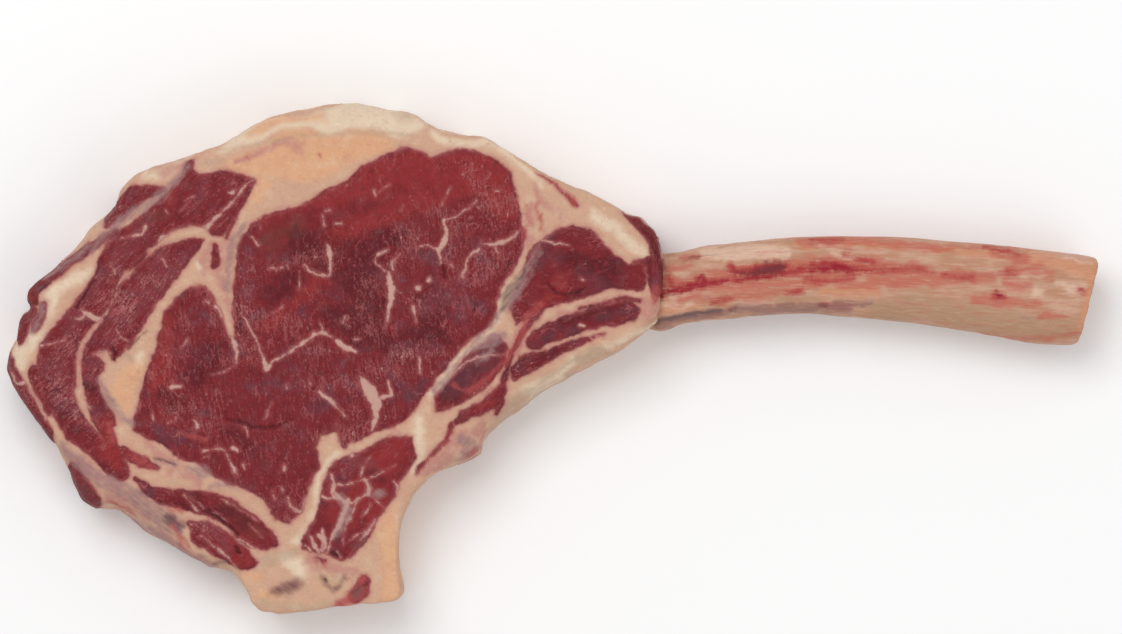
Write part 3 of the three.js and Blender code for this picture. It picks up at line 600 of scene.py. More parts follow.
EVEN_LEAN = [
    [(-106.4, 46.8, 15.2), (-93.1, 54.3, 16.7), (-76, 56.2, 15.2), (-57, 65.8, 15.2), (-38, 67.7, 13.7)],
    [(-104.5, 25.9, 12.9), (-96.9, 29.6, 10.6)],
    [(3.8, 36.5, 19), (22.8, 32.7, 19), (38, 31.5, 11.4)],
    [(-62.7, -36.8, 19), (-70.3, -50.1, 19), (-81.7, -65.3, 16.7)],
    [(-19, 4.9, 11.4), (-36.1, -10.2, 11.4)],
    [(-3.8, 4.9, 9.1), (19, 14.4, 9.1)],
    [(-134.9, -54, 9.1), (-119.7, -61.5, 11.4), (-109.5, -67.2, 11.4)],
    [(-123.5, -71, 11.4), (-112.1, -76.8, 9.1)],
]
BROWN_LEAN = [
    [(-107.2, 46.8, 9.9), (-95, 48.7, 9.1)],
    [(-148.2, 54.3, 5.3), (-155.8, 47.9, 3.8)],
    [(-196.1, 25.1, 5.3), (-191.9, 28.1, 4.6)],
    [(-177.9, -47.9, 5.3), (-174.1, -53.2, 4.6), (-161.9, -58.9, 3.8)],
    [(39.9, 43, 5.3), (34.2, 44.9, 3)],
    [(-123.5, -57, 9.1), (-114, -65.3, 7.6)],
]
GREY_LEAN = [
    [(-115.2, 41, 4.6), (-114.4, 28.9, 6.1), (-115.6, 19.8, 3.8)],
    [(-172.9, -0.8, 4.6), (-172.2, -6.8, 4.6)],
    [(-136.1, -61.5, 4.6), (-129.2, -65.7, 5.3), (-122.4, -71, 4.6)],
    [(-102.6, -87.4, 4.6), (-95.8, -85.5, 3.8)],
    [(-130, 64.6, 4.6), (-136.8, 58.2, 4.6)],
    [(-186.2, 36.5, 3.8), (-174.8, 43, 3.8)],
    [(0, 44.9, 4.6), (-6.1, 38.8, 4.6)],
    [(-152, 50.5, 8.4), (-165.3, 38, 8.4), (-178.6, 18.2, 7.6), (-188.1, -0.8, 8.4), (-185.5, -15.9, 8.4)],
    [(-146.3, 36.5, 9.1), (-155.8, 23.9, 10.6), (-162.7, 12.6, 7.6), (-171, -0.8, 6.1)],
    [(-30.4, -5.3, 5.3), (-24.4, -1.5, 4.6)],
    [(-117.8, -46.3, 7.6), (-109.5, -55.8, 6.8), (-95, -58.5, 4.6)],
    [(-157.7, 22.1, 9.1), (-163.4, 14.4, 6.1)],
    [(-140.6, 35.4, 6.1), (-148.2, 27.8, 6.1)],
    [(-58.9, -54, 6.1), (-62.7, -65.3, 4.6)],
    [(-76, -42.5, 5.3), (-67.7, -39.5, 4.6)],
    [(-180.5, -14.1, 6.1), (-174.1, -25.4, 5.3)],
    [(-47.5, 20.1, 11.4), (-36.1, 27.8, 11.4), (-30.4, 17.5, 9.1)],
    [(-57, 3, 7.6), (-45.6, 3, 7.6)],
    [(38, 34.2, 5.3), (38.7, 27.4, 5.3)],
]
WARM_FAT = [
    [(-122.4, 75.2, 4.6), (-114, 73, 12.9), (-102.6, 74.5, 16), (-90.5, 77.5, 17.5), (-77.9, 79, 12.9),
     (-60.8, 80.6, 6.1)],
    [(-114.8, 62, 9.1), (-109.5, 65.4, 8.4)],
    [(-114, 87.8, 4.6), (-98.8, 90.8, 4.9), (-85.2, 93.1, 3.8)],
    [(-62.7, -58.5, 6.8), (-61.2, -67.2, 9.1), (-60.5, -76.8, 9.9), (-59.3, -87.4, 8.4)],
    [(-158.1, -3.8, 6.8), (-161.9, -12.9, 7.6), (-160.4, -20.5, 5.3)],
    [(-86.7, -85.1, 2.3), (-79.8, -85.1, 2.3)],
    [(-116.3, -83.6, 3), (-111.8, -84.7, 3)],
    [(11.4, 2.3, 3.8), (19, 4.9, 3)],
    [(-102.6, -92, 4.6), (-109.5, -90.4, 3.8)],
]
PALE_FAT = [
    [(-124.7, 82.9, 4.6), (-109.5, 87.4, 7.6), (-95, 89.7, 7.6), (-77.9, 92, 11.4), (-62.7, 90.5, 9.9),
     (-48.7, 87.4, 6.1)],
    [(-41.8, 84.4, 3.8), (-26.6, 82.5, 3.8), (-14.5, 76, 3.8), (-2.7, 66.1, 2.3)],
    [(15.2, 54.7, 3.8), (25, 48.7, 5.3), (34.9, 39.5, 4.6), (39.5, 32.7, 3)],
    [(-171, 36.9, 2.7), (-178.6, 31.5, 5.7), (-186.2, 25.9, 6.8), (-193.8, 14.4, 6.8), (-199.9, 4.9, 6.8),
     (-204.5, -3.8, 4.6)],
    [(-155.8, 68, 1.9), (-146.3, 70.7, 2.7), (-137.6, 75.2, 2.3)],
    [(-156.6, 2.3, 2.7), (-158.5, -4.6, 3)],
    [(36.1, 9.1, 3.8), (20.9, 4.6, 3), (7.6, -1.5, 4.6), (-8.4, -14.4, 6.1)],
    [(-133.8, 33.5, 2.7), (-130.8, 30.4, 2.7)],
    [(-80.6, -36.8, 3.4), (-86.7, -46.3, 3.4), (-88.2, -57.8, 3.4), (-95, -68.4, 4.6)],
    [(-98.1, -77.9, 5.3), (-92.8, -79.8, 5.3)],
    [(-60.5, -59.6, 4.6), (-60.8, -67.2, 5.3), (-60.5, -76.8, 5.3), (-59.3, -88.1, 4.6)],
    [(-49.4, -20.5, 3.4), (-50.2, -31.2, 4.6), (-53.2, -42.5, 4.6)],
    [(-11.4, 36.5, 3), (-19, 22.1, 3), (-25.1, 8.4, 3), (-36.1, -0.8, 3.8), (-45.6, -12.2, 5.3)],
    [(-144.4, -31.2, 3.8), (-134.9, -39.5, 4.6), (-127.3, -46.3, 3.8)],
]
PINK_FAT = [
    [(-122.4, 48.7, 4.6), (-123.9, 36.5, 5.3), (-124.7, 25.9, 5.3), (-120.9, 12.6, 3.8)],
    [(-134.6, 67.7, 3), (-136.8, 73, 3), (-148.2, 70.7, 5.3)],
    [(-117.8, 76, 3), (-109.5, 78.3, 3.8), (-95, 80.6, 3)],
    [(-6.1, 66.9, 2.3), (0, 60, 3), (6, 54.7, 3)],
    [(-169.5, 10.6, 6.1), (-171, 2.3, 5.3), (-174.8, 7.6, 4.6), (-171.8, 16, 3.8)],
    [(-182.4, -1.5, 3.8), (-177.9, 4.9, 3.8)],
    [(-168, 25.9, 3.8), (-164.2, 31.5, 3), (-155.8, 39.5, 3)],
    [(-6.9, 60, 3), (-6.9, 50.5, 3.8), (-7.6, 43, 3.8)],
    [(-3.8, 22.1, 4.6), (-11.4, 8.8, 4.6), (-15.2, -4.6, 4.6), (-19, -14.1, 4.6)],
    [(19, 22.8, 3), (3.8, 17.5, 3)],
    [(36.4, 22.1, 6.1), (37.2, 15.2, 3.8)],
    [(-36.1, -31.2, 6.8), (-41.8, -39.5, 7.6), (-47.5, -43.3, 6.1)],
    [(-28.9, -31.2, 7.6), (-24.7, -25.4, 5.3)],
    [(-88.2, -76.8, 5.3), (-82.1, -79.8, 5.3), (-75.3, -82.1, 6.1)],
    [(-77.9, -92, 6.8), (-81.7, -94.2, 4.6)],
    [(-128.5, 36.5, 4.6), (-130.4, 29.6, 3.8)],
    [(-168, -52.8, 5.3), (-161.5, -52.8, 5.3), (-153.2, -58.9, 4.6)],
    [(-164.2, -60, 4.6), (-152, -67.2, 5.3), (-136.8, -76.8, 5.3), (-124.7, -81.3, 3.8)],
    [(-131.1, 35.4, 5.3), (-127.7, 44.9, 3.8), (-123.2, 22.1, 3.8)],
    [(-134.6, -71, 3), (-127.7, -75.2, 3)],
    [(34.2, 18.2, 5.3), (38, 12.6, 4.6)],
    [(-177.1, -38, 6.1), (-167.2, -50.1, 5.3)],
    [(-58.6, -31.2, 3.8), (-54, -36.8, 3)],
    [(-152.8, -31.2, 4.6), (-144.4, -42.5, 5.3), (-133, -49.4, 4.6)],
    [(-68.4, -12.2, 8.4), (-60.1, -20.5, 6.8)],
    [(-148.2, 44.9, 3), (-152, 36.5, 3), (-160.4, 25.9, 3), (-168, 14.4, 3), (-177.9, 3, 3),
     (-179.4, -12.2, 3)],
]
BEIGE_FAT = [
    [(-171.8, 35.7, 3), (-174.8, 32.7, 3)],
    [(-57.8, 92, 3), (-51, 90.5, 3)],
    [(-130.8, 75.2, 3.8), (-123.9, 76.4, 4.6)],
    [(-85.9, -84.3, 3), (-80.2, -84.3, 3)],
    [(-158.1, -62.7, 2.7), (-152, -66.1, 3), (-145.2, -69.5, 3)],
    [(21.2, 3, 5.3), (11.4, -0.8, 5.3)],
    [(-163.4, 2.3, 2.3), (-159.6, -0.8, 2.3)],
    [(-187.8, -31.2, 3), (-184, -39.5, 3)],
    [(-204.5, -5.3, 3), (-200.7, -14.1, 3), (-193.8, -25.4, 3)],
    [(-19, -24.3, 6.1), (-11.4, -19, 7.6), (3.8, -9.9, 6.8)],
    [(-109.5, -93.5, 3.8), (-95, -94.2, 3.8), (-79.8, -92.7, 3.8)],
    [(-95, -74.8, 4.6), (-102.6, -77.5, 4.6), (-111, -79.8, 3.8)],
]
DUSKY_LEAN = [
    [(-16, 10.6, 6.1), (-22.1, 3.8, 7.6), (-28.9, -3, 7.6), (-38, -11.4, 7.6)],
    [(0.7, 46.4, 5.3), (-3.8, 36.5, 4.6)],
    [(3.8, 12.2, 3.8), (-1.9, 7.6, 3.8)],
    [(34.2, 19.8, 3.8), (19, 17.5, 3)],
    [(-81.7, -68.4, 3.8), (-81.4, -73.7, 3)],
    [(-81.7, -48.6, 3), (-77.9, -45.6, 3.8)],
]

# Stains lie over lean and fat alike.
BRUISES = [
    [(-105.3, -88.9, 2.7), (-101.1, -87.8, 4.6), (-96.2, -85.9, 4.2)],
    [(-72.2, -87.4, 3), (-73.8, -89.7, 3.4)],
    [(-144.4, -60.4, 3), (-140.6, -63.1, 3)],
    [(-73.4, -71.4, 1.1), (-70.7, -69.5, 1.5)],
    [(-86.7, -82.8, 0.8), (-85.5, -86.2, 1.1), (-82.9, -88.1, 1.5), (-79.8, -86.6, 1.1),
     (-78.3, -83.6, 0.6)],
]
FRESH_BLOOD = [
    [(-71.5, -84.7, 3), (-72.6, -88.5, 6.1), (-76, -92, 4.9), (-80.2, -93.5, 2.7)],
    [(-5.4, 70.7, 0.4), (-1.6, 68.4, 0.8), (2.2, 66.1, 1.1), (4.9, 63.1, 1.5), (9.1, 59.3, 2.7)],
    [(-9.2, 58.5, 1.1), (-8, 53.2, 0.8), (-9.9, 45.6, 1.5)],
    [(-5, 58.2, 0.8), (-3.8, 51.7, 1.9), (-3.5, 49.4, 1.1)],
    [(-3.1, 20.5, 1.9), (-8.4, 16, 3), (-12.6, 4.9, 2.3), (-17.1, -2.3, 1.9), (-25.1, -9.1, 1.5),
     (-31.2, -12.9, 0.8)],
    [(-37.7, -10.2, 0.8), (-33.5, -11.8, 0.9), (-29.7, -12.5, 0.8)],
    [(-88.2, 77.2, 1.1), (-87.8, 76.8, 1.1)],
    [(-115.6, 76.4, 0.8), (-115.2, 76, 0.8)],
    [(-36.1, -27.7, 0.8), (-40.7, -33, 0.8), (-44.5, -36.8, 0.8), (-49.8, -42.5, 0.8)],
    [(-33.1, -39.1, 1.5), (-29.3, -37.2, 1.9), (-26.6, -34.6, 1.5)],
    [(40.6, 25.9, 4.6), (40.2, 22.1, 3)],
    [(-167.6, -25.1, 1.9), (-166.1, -31.2, 1.5)],
    [(-157.7, -38, 1.9), (-152, -40.7, 1.9)],
    [(-144.4, -57, 1.9), (-140.6, -58.5, 1.9)],
    [(-144.4, -63.8, 1.5), (-141.4, -67.6, 2.3), (-138.4, -71.4, 1.9)],
    [(-88.2, -76.8, 1.9), (-85.5, -78.3, 1.5)],
    [(-169.1, -54.7, 2.3), (-162.7, -58.5, 2.3)],
    [(-131.1, -31.2, 1.5), (-140.6, -28.1, 1.1)],
]
FAR = -12.0  # depth given to places outside every stroke
LOWER_SKINS = (-60.0, 5.0)  # skins with x and y below these are drawn down to the right
DRAWN_DOWN, DRAWN_UP = 0.93, -0.7  # turn of what is drawn out along the skins, in radians


def depth_in_strokes(places, strokes):
    """Depth of places in the deepest stroke: half its width there, less the distance to its middle."""
    depth = np.full(len(places), FAR)
    for stroke in strokes:
        for start, end in zip(stroke, stroke[1:]):
            (x0, y0, width), (x1, y1, end_width) = start, end
            reach = -FAR + max(width, end_width)
            near = np.flatnonzero(
                (places[:, 0] > min(x0, x1) - reach) & (places[:, 0] < max(x0, x1) + reach)
                & (places[:, 1] > min(y0, y1) - reach) & (places[:, 1] < max(y0, y1) + reach)
            )
            offset = places[near] - (x0, y0)
            run = np.array([x1 - x0, y1 - y0])
            along = np.clip(offset @ run / max(run @ run, 1e-9), 0, 1)
            distance = np.linalg.norm(offset - along[:, None] * run, axis=1)
            here = (width + (end_width - width) * along) / 2 - distance
            depth[near] = np.maximum(depth[near], here)
    return depth


def wandering(places, height, far, scale, seed):
    """Places moved to and fro by waves, so that a smooth stroke's edge gets uneven."""
    spots = np.column_stack([places, height])
    return places + far * np.stack([waves(spots, scale, seed), waves(spots, scale, seed + 1)], 1)


def tone_share(places, strokes, blur):
    """Strength from 0 to 1 of a broad tone: it fades over the blur at the stroke's edge."""
    return smooth(depth_in_strokes(places, strokes), -blur, blur)


# How far the fibres of each muscle are turned from upright in the picture, in radians.
FIBRE_TURNS = {
    "rib_eye": 0.15, "cap_muscle_outer": -0.8, "cap_muscle_inner": -0.6, "chine_muscle": -0.7,
    "lower_strip_upper": 1.05, "lower_strip_lower": 1.0, "rib_muscle_upper": -1.35,
    "rib_muscle_middle": -1.3, "rib_muscle_lower": -1.2, "seam_muscle_upper": -0.6,
    "seam_muscle_lower": -0.65,
}
turn_of_muscle = np.array([FIBRE_TURNS.get(name, 0.0) for name in muscle_outlines])


def deepest_muscle(places):
    """Depth in the muscle that a place lies deepest in, and which muscle that is."""
    found = np.array([depth_inside(places, outline) for outline in muscle_outlines.values()])
    return found.max(axis=0), found.argmax(axis=0)


along_rim = np.column_stack([-inwards[in_net, 1], inwards[in_net, 0]])


def painted(places, height, lean_up):
    """Everything the finish reads at places of the net, each a number for each place.

    Depths are in millimetres, positive inside. Tones go from 0 to 1. Edges wander by waves, more so
    for broad strokes, and down the sides places also move along the rim, so nothing runs straight.
    """
    spots = np.column_stack([places, height])
    drift = 5.0 * waves(spots, 12.0, 41) + 2.5 * waves(spots, 5.0, 42)
    places = places + (drift * (1 - lean_up))[:, None] * along_rim
    fine = wandering(wandering(places, height, 0.55, 3.1, 21), height, 0.3, 1.3, 23)
    loose = wandering(places, height, 0.9, 2.5, 27)
    broad = wandering(places, height, 3.0 + 5.0 * (1 - lean_up)[:, None], 9.0, 25)
    muscle_depth, which = deepest_muscle(fine)
    return {
        "lean": np.maximum(muscle_depth, depth_in_strokes(fine, LEAN_SCRAPS)),
        "turn": turn_of_muscle[which],
        "vein": depth_in_strokes(fine, MARBLING),
        "crease": depth_in_strokes(fine, CREASES),
        "fold": depth_in_strokes(loose, FOLDS_WITH_PAINTED_SHADE),
        "skin": depth_in_strokes(loose, SILVER_SKIN),
        "dim": depth_in_strokes(loose, DIM_SKIN),
        "blood": depth_in_strokes(loose, FRESH_BLOOD),
        "bruise": depth_in_strokes(loose, BRUISES),
        "drawn": np.where((places < LOWER_SKINS).all(axis=1), DRAWN_DOWN, DRAWN_UP),
        "bright": tone_share(broad, BRIGHT_LEAN, 4.0),
        "dark": tone_share(broad, DARK_LEAN, 4.5),
        "even": tone_share(broad, EVEN_LEAN, 4.0),
        "brown": tone_share(broad, BROWN_LEAN, 4.0),
        "grey": tone_share(broad, GREY_LEAN, 3.0),
        "dusky": tone_share(broad, DUSKY_LEAN, 1.8),
        "warm": tone_share(broad, WARM_FAT, 3.0),
        "pale": tone_share(broad, PALE_FAT, 2.5),
        "pink": tone_share(broad, PINK_FAT, 2.5),
        "beige": tone_share(broad, BEIGE_FAT, 2.0),
    }


used = np.flatnonzero(in_net)
fields_above = painted(above[used], height_above[used], lean_above[used])
fields_below = painted(below[used], height_below[used], lean_below[used])


def relief(places, height, fields):
    """How far the surface stands out, in millimetres.

    Broad swells, rounded shoulders where lean meets fat, lumps in the fat and along the lean's
    fibres, veins and skins a little proud, and creases cut in.
    """
    spots = np.column_stack([places, height])
    lean_share = smooth(fields["lean"], -0.3, 0.5)
    shoulder = 1 - np.exp(-np.abs(fields["lean"]) / 1.8)
    fibres = spots * (1.0, 1.0, 0.5) @ np.array([[0.9, 0.35, 0], [-0.35, 0.9, 0], [0, 0, 1]])
    in_lean = 0.22 * waves(spots, 7.0, 31) + 0.15 * waves(fibres * (1.0, 0.4, 1.0), 2.6, 32)
    in_lean += 0.08 * waves(spots, 1.7, 33)
    in_fat = 0.35 * waves(spots, 9.0, 34) + 0.22 * waves(spots, 4.0, 35) + 0.1 * waves(spots, 1.8, 36)
    out = 0.55 * waves(spots, 38.0, 30) - 0.35 + 0.35 * shoulder
    out += lean_share * in_lean + (1 - lean_share) * (in_fat - 0.45)
    out += 0.12 * smooth(fields["vein"], -0.4, 0.4) + 0.15 * smooth(fields["skin"], -1.0, 1.0)
    out -= 0.9 * smooth(fields["crease"], -0.7, 0.4) + 0.45 * smooth(fields["fold"], -1.2, 0.6)
    return out


def stood_out(places, height, lean_up, side, fields):
    """Points of the net moved out by the relief: sideways on the sides, up or down on the faces.

    Side is 1 above and negative below, where it says how much of the relief is kept.
    """
    on_side = np.sqrt(1 - np.clip(lean_up, 0, 1) ** 2)
    out = relief(places, height, fields) - 0.35 * on_side
    sideways = (out * on_side)[:, None] * -inwards[used]
    return np.column_stack([places + sideways, height + side * out * lean_up])


PRESSED_FLAT = 0.45  # share of its relief that the underside keeps
points_above = stood_out(above[used], height_above[used], lean_above[used], 1.0, fields_above)
points_below = stood_out(below[used], height_below[used], lean_below[used], -PRESSED_FLAT, fields_below)
points_below[:, 2] = np.maximum(points_below[:, 2], 0.0)
rim_used = on_rim[used]
points_below[rim_used] = points_above[rim_used]

# One finish for fat and lean, because they grow into each other. The fields painted above say
# what lies where, and the material adds the ragged edges, the fine flecks of fat, which are also
# painted glints of wet sheen, the fibres and the moist sheen that are too small for the net.

LEAN = (0.192, 0.018, 0.023)
LEAN_BRIGHT = (0.275, 0.025, 0.028)
LEAN_BROWN = (0.185, 0.032, 0.028)
LEAN_DARK = (0.098, 0.009, 0.014)
LEAN_PURPLE = (0.150, 0.034, 0.048)
LEAN_GREY = (0.235, 0.062, 0.076)
LEAN_DUSKY = (0.120, 0.030, 0.043)
STRAND = (0.365, 0.095, 0.098)
FLECK = (0.520, 0.235, 0.215)
VEIN = (0.590, 0.350, 0.290)
FAT = (0.620, 0.370, 0.250)
FAT_WARM = (0.720, 0.385, 0.215)
FAT_PALE = (0.760, 0.600, 0.440)
FAT_PINK = (0.520, 0.230, 0.190)
FAT_BEIGE_AND_FOLD_SHADE = (0.500, 0.340, 0.235)
SKIN_GREY = (0.350, 0.190, 0.185)
# Dark skin on the meat, and also the painted shade along the bone's lower edge.
DIM_SKIN_AND_BONE_SHADE = (0.080, 0.060, 0.066)
BRUISE = (0.190, 0.075, 0.075)
BLOOD = (0.420, 0.074, 0.072)
# Painted shade in the creases.
CREASE_SHADE = (0.055, 0.010, 0.013)


class Wire:
    """An output of a node in a material. Arithmetic on wires adds the Math nodes that work it out."""

    def __init__(self, tree, socket=None):
        self.tree = tree
        self.socket = socket

    def node(self, kind, settings, inputs, output=0):
        """A new node with its settings made and its sockets given values or wires, as one output."""
        made = self.tree.nodes.new(kind)
        for name, value in settings.items():
            setattr(made, name, value)
        for key, value in inputs.items():
            if isinstance(value, Wire):
                self.tree.links.new(value.socket, made.inputs[key])
            else:
                made.inputs[key].default_value = value
        return Wire(self.tree, made.outputs[output])

    def maths(self, operation, *values):
        """One Math node of that operation on values or wires."""
        return self.node("ShaderNodeMath", {"operation": operation}, dict(enumerate(values)))

    def __add__(self, other):
        return self.maths("ADD", self, other)

    def __sub__(self, other):
        return self.maths("SUBTRACT", self, other)

    def __mul__(self, other):
        return self.maths("MULTIPLY", self, other)

    def __rsub__(self, other):
        return self.maths("SUBTRACT", other, self)

    def __abs__(self):
        return self.maths("ABSOLUTE", self)

    __radd__ = __add__
    __rmul__ = __mul__

    def step(self, low, high):
        """0 below low, 1 above high, with a smooth change between."""
        settings = {"interpolation_type": "SMOOTHSTEP"}
        return self.node("ShaderNodeMapRange", settings, {0: self, 1: low, 2: high, 3: 0.0, 4: 1.0})

    def mix(self, first, second):
        """A colour that goes from the first to the second as this wire goes from 0 to 1."""
        first, second = (c if isinstance(c, Wire) else (*c, 1.0) for c in (first, second))
        return self.node("ShaderNodeMix", {"data_type": "RGBA"}, {0: self, 6: first, 7: second}, 2)


def new_finish(name):
    """An empty material, its shader, and a wire from which its nodes are made."""
    material = bpy.data.materials.new(name)
    material.use_nodes = True
    shader = material.node_tree.nodes["Principled BSDF"]
    return material, shader, Wire(material.node_tree)


def noise_maker(start, place):
    """Gives a function that makes noise of about 0 to 1 at the object's own places, of a size in metres.

    A stretch is a turn and how many times longer the noise is along each axis after it.
    """
    def noise(size, detail=2.0, roughness=0.5, stretch=None):
        spot = place
        if stretch:
            settings = {"vector_type": "TEXTURE"}
            spot = start.node("ShaderNodeMapping", settings, {0: place, 2: stretch[0], 3: stretch[1]})
        inputs = {"Vector": spot, "Scale": 1 / size, "Detail": detail, "Roughness": roughness}
        return start.node("ShaderNodeTexNoise", {}, inputs)
    return noise


def wires_of(start, fields):
    """A wire for each field that the mesh carries."""
    return {
        name: start.node("ShaderNodeAttribute", {"attribute_name": name}, {}, "Fac")
        for name in fields
    }


def lead_to(shader, wires):
    """Leads wires to sockets of a shader."""
    for socket, wire in wires.items():
        wire.tree.links.new(wire.socket, shader.inputs[socket])


def meat_finish():
    """The finish of fat and lean, worked out from the painted fields."""
    material, shader, start = new_finish("raw_meat")
    place = start.node("ShaderNodeTexCoord", {}, {}, "Object")
    noise = noise_maker(start, place)
    field = wires_of(start, fields_above)
    turn = start.node("ShaderNodeCombineXYZ", {}, {2: field["turn"]})
    along = (turn, (1.0, 5.0, 2.0))
    coarse = noise(0.012, 3.0) - 0.5
    patch = noise(0.0058, 2.0) - 0.5
    middle = noise(0.0033, 3.0) - 0.5
    fine = noise(0.0013, 3.0, 0.6) - 0.5
    grain = noise(0.00055, 2.0, 0.7) - 0.5
    fibre = noise(0.00085, 3.0, 0.65, along) - 0.5
    short_fibre = noise(0.0007, 2.0, 0.65, (turn, (1.0, 2.0, 1.0))) - 0.5
    in_lean = field["lean"].step(-0.7, 0.3)
    fibre = fibre * in_lean
    short_fibre = short_fibre * in_lean
    grainy = (1.0 - 0.7 * field["even"]) * (0.55 + noise(0.009, 1.0).step(0.35, 0.65) * 0.6)

    # Where there is lean, with a soft uneven edge, and where marbling cuts it.
    edge = 1.0 * middle + 0.7 * fine
    lean_edge = field["lean"] + edge + 0.5 * fibre
    is_lean = lean_edge.step(-0.35, 0.4)
    vein_edge = field["vein"] + 1.3 * edge + 0.5 * grain + 0.5 * patch
    is_vein = vein_edge.step(-0.15, 0.7)
    vein_veil = vein_edge.step(-1.2, 0.2)

    # Small strands, threads and flecks of fat all through the lean, thicker in some places. The pale flecks
    # are partly fat and partly painted highlight, for the glints of wet sheen.
    thick = noise(0.017, 1.0).step(0.42, 0.66) * grainy
    strands = (1.7 * fibre + 0.8 * grain + 0.18 * thick).step(0.05, 0.50) * grainy
    pale_grain = (1.9 * short_fibre + 0.8 * grain + 0.16 * thick).step(0.12, 0.55) * grainy
    dark_grain = (-1.7 * fibre - 1.0 * grain).step(0.05, 0.55) * grainy
    thread_noise = noise(0.0068, 2.0, 0.6, (turn, (1.0, 1.7, 1.0))) - 0.5
    threads = (1.0 - 55.0 * abs(thread_noise)).step(0.0, 0.9)
    threads = threads * noise(0.0075, 1.0).step(0.52, 0.60) * grainy
    flecks_and_glints = noise(0.0022, 2.0, 0.6, (turn, (1.0, 1.8, 1.0))).step(0.66, 0.72) * (0.15 + 0.85 * thick)

    # The lean: broad tones, then the edge beside fat, darker with painted shade or paler with strands, then
    # what lies in it.
    tone = (field["bright"] + 1.3 * coarse + 1.0 * patch).step(0.0, 1.0).mix(LEAN, LEAN_BRIGHT)
    tone = (0.8 * field["brown"] + 0.8 * patch + 0.5 * middle).step(0.1, 0.9).mix(tone, LEAN_BROWN)
    purple_share = (0.5 + 1.6 * coarse + 0.9 * patch - 0.4 * field["bright"]).step(0.50, 0.95)
    tone = purple_share.mix(tone, LEAN_PURPLE)
    dark_share = (field["dark"] + 1.0 * patch + 0.6 * coarse).step(0.05, 1.0) * 0.8
    tone = dark_share.mix(tone, LEAN_DARK)
    grey_share = (field["grey"] + 0.9 * patch + 0.6 * fibre).step(0.15, 1.1) * 0.4
    tone = grey_share.mix(tone, LEAN_GREY)
    tone = (field["dusky"] * (0.75 + 0.9 * middle)).mix(tone, LEAN_DUSKY)
    tone = ((0.5 + 1.5 * middle + 1.2 * fine).step(0.45, 1.0) * 0.45).mix(tone, LEAN_DARK)
    tone = ((0.5 - 1.5 * middle - 1.2 * fine).step(0.50, 1.0) * 0.5).mix(tone, LEAN_BRIGHT)
    tone = (dark_grain * 0.65).mix(tone, LEAN_DARK)
    # Painted shade, partly: the lean darkened along its border with the fat.
    edge_band_shade_and_strands = 1.0 - (field["lean"] + 1.6 * middle).step(0.0, 1.6)
    tone = (edge_band_shade_and_strands * (0.30 + 2.0 * coarse + 1.2 * patch)).mix(tone, LEAN_DARK)
    tone = (edge_band_shade_and_strands * (0.35 - 1.6 * coarse - 1.2 * patch)).mix(tone, STRAND)
    tone = (strands * (0.58 + 0.30 * field["grey"])).mix(tone, STRAND)
    tone = (pale_grain * (0.26 + 0.30 * field["grey"])).mix(tone, FLECK)
    tone = (threads * 0.65).mix(tone, STRAND)
    # Painted highlight, partly: pale flecks standing in for glints of wet sheen.
    tone = (flecks_and_glints * 0.65).mix(tone, FLECK)
    tone = (vein_veil * (0.55 + 0.8 * middle)).mix(tone, STRAND)
    vein_tone = (0.25 + 1.6 * middle + fine + 0.5 * field["vein"]).step(0.1, 1.0).mix(FLECK, VEIN)
    lean_tone = (is_vein * 0.88).mix(tone, vein_tone)

    # The fat: pale, warm, beige and pink places, fine grain and threads, pink juice and painted shade
    # beside the lean, and painted shade along the folds.
    fat_tone = (field["pale"] * 0.9 + 0.8 * middle + 0.5 * coarse).step(0.0, 1.0).mix(FAT, FAT_PALE)
    warm_share = (field["warm"] + 0.6 * middle + 0.6 * coarse).step(0.0, 1.1) * 0.9
    fat_tone = warm_share.mix(fat_tone, FAT_WARM)
    beige_share = (field["beige"] + 0.7 * middle + 0.5 * coarse).step(0.05, 1.1) * 0.7
    fat_tone = beige_share.mix(fat_tone, FAT_BEIGE_AND_FOLD_SHADE)
    pink_share = (field["pink"] + 1.2 * middle + 0.8 * coarse + 0.5 * fine).step(0.1, 1.1) * 0.85
    fat_tone = pink_share.mix(fat_tone, FAT_PINK)
    fat_tone = ((0.5 + 1.3 * fine + 0.8 * grain).step(0.55, 1.0) * 0.45).mix(fat_tone, FAT_PALE)
    fat_tone = ((0.5 - 1.3 * fine - 0.9 * middle).step(0.55, 1.0) * 0.40).mix(fat_tone, FAT_PINK)
    fat_thread_noise = noise(0.0075, 2.0, 0.6) - 0.5
    fat_threads = (1.0 - 40.0 * abs(fat_thread_noise)).step(0.0, 1.0)
    fat_tone = (fat_threads * noise(0.009, 1.0).step(0.50, 0.62) * 0.22).mix(fat_tone, FAT_PINK)
    fat_tone = ((0.5 + 1.8 * patch + 0.8 * middle).step(0.50, 1.1) * 0.3).mix(fat_tone, FAT_PINK)
    fat_tone = ((0.5 - 1.8 * patch - 0.8 * middle).step(0.50, 1.1) * 0.3).mix(fat_tone, FAT_PALE)
    # Pink juice and painted shade in the fat beside the lean.
    juice_and_shade = (field["lean"] + 2.2 * middle + fine).step(-2.4, 0.2) * 0.6
    fat_tone = juice_and_shade.mix(fat_tone, FAT_PINK)
    fat_tone = (lean_edge.step(-0.9, 0.0) * 0.6).mix(fat_tone, STRAND)
    # Painted shade along the folds, in the fat's beige.
    fat_tone = ((field["fold"] + 0.8 * edge).step(-1.0, 0.9) * 0.5).mix(fat_tone, FAT_BEIGE_AND_FOLD_SHADE)
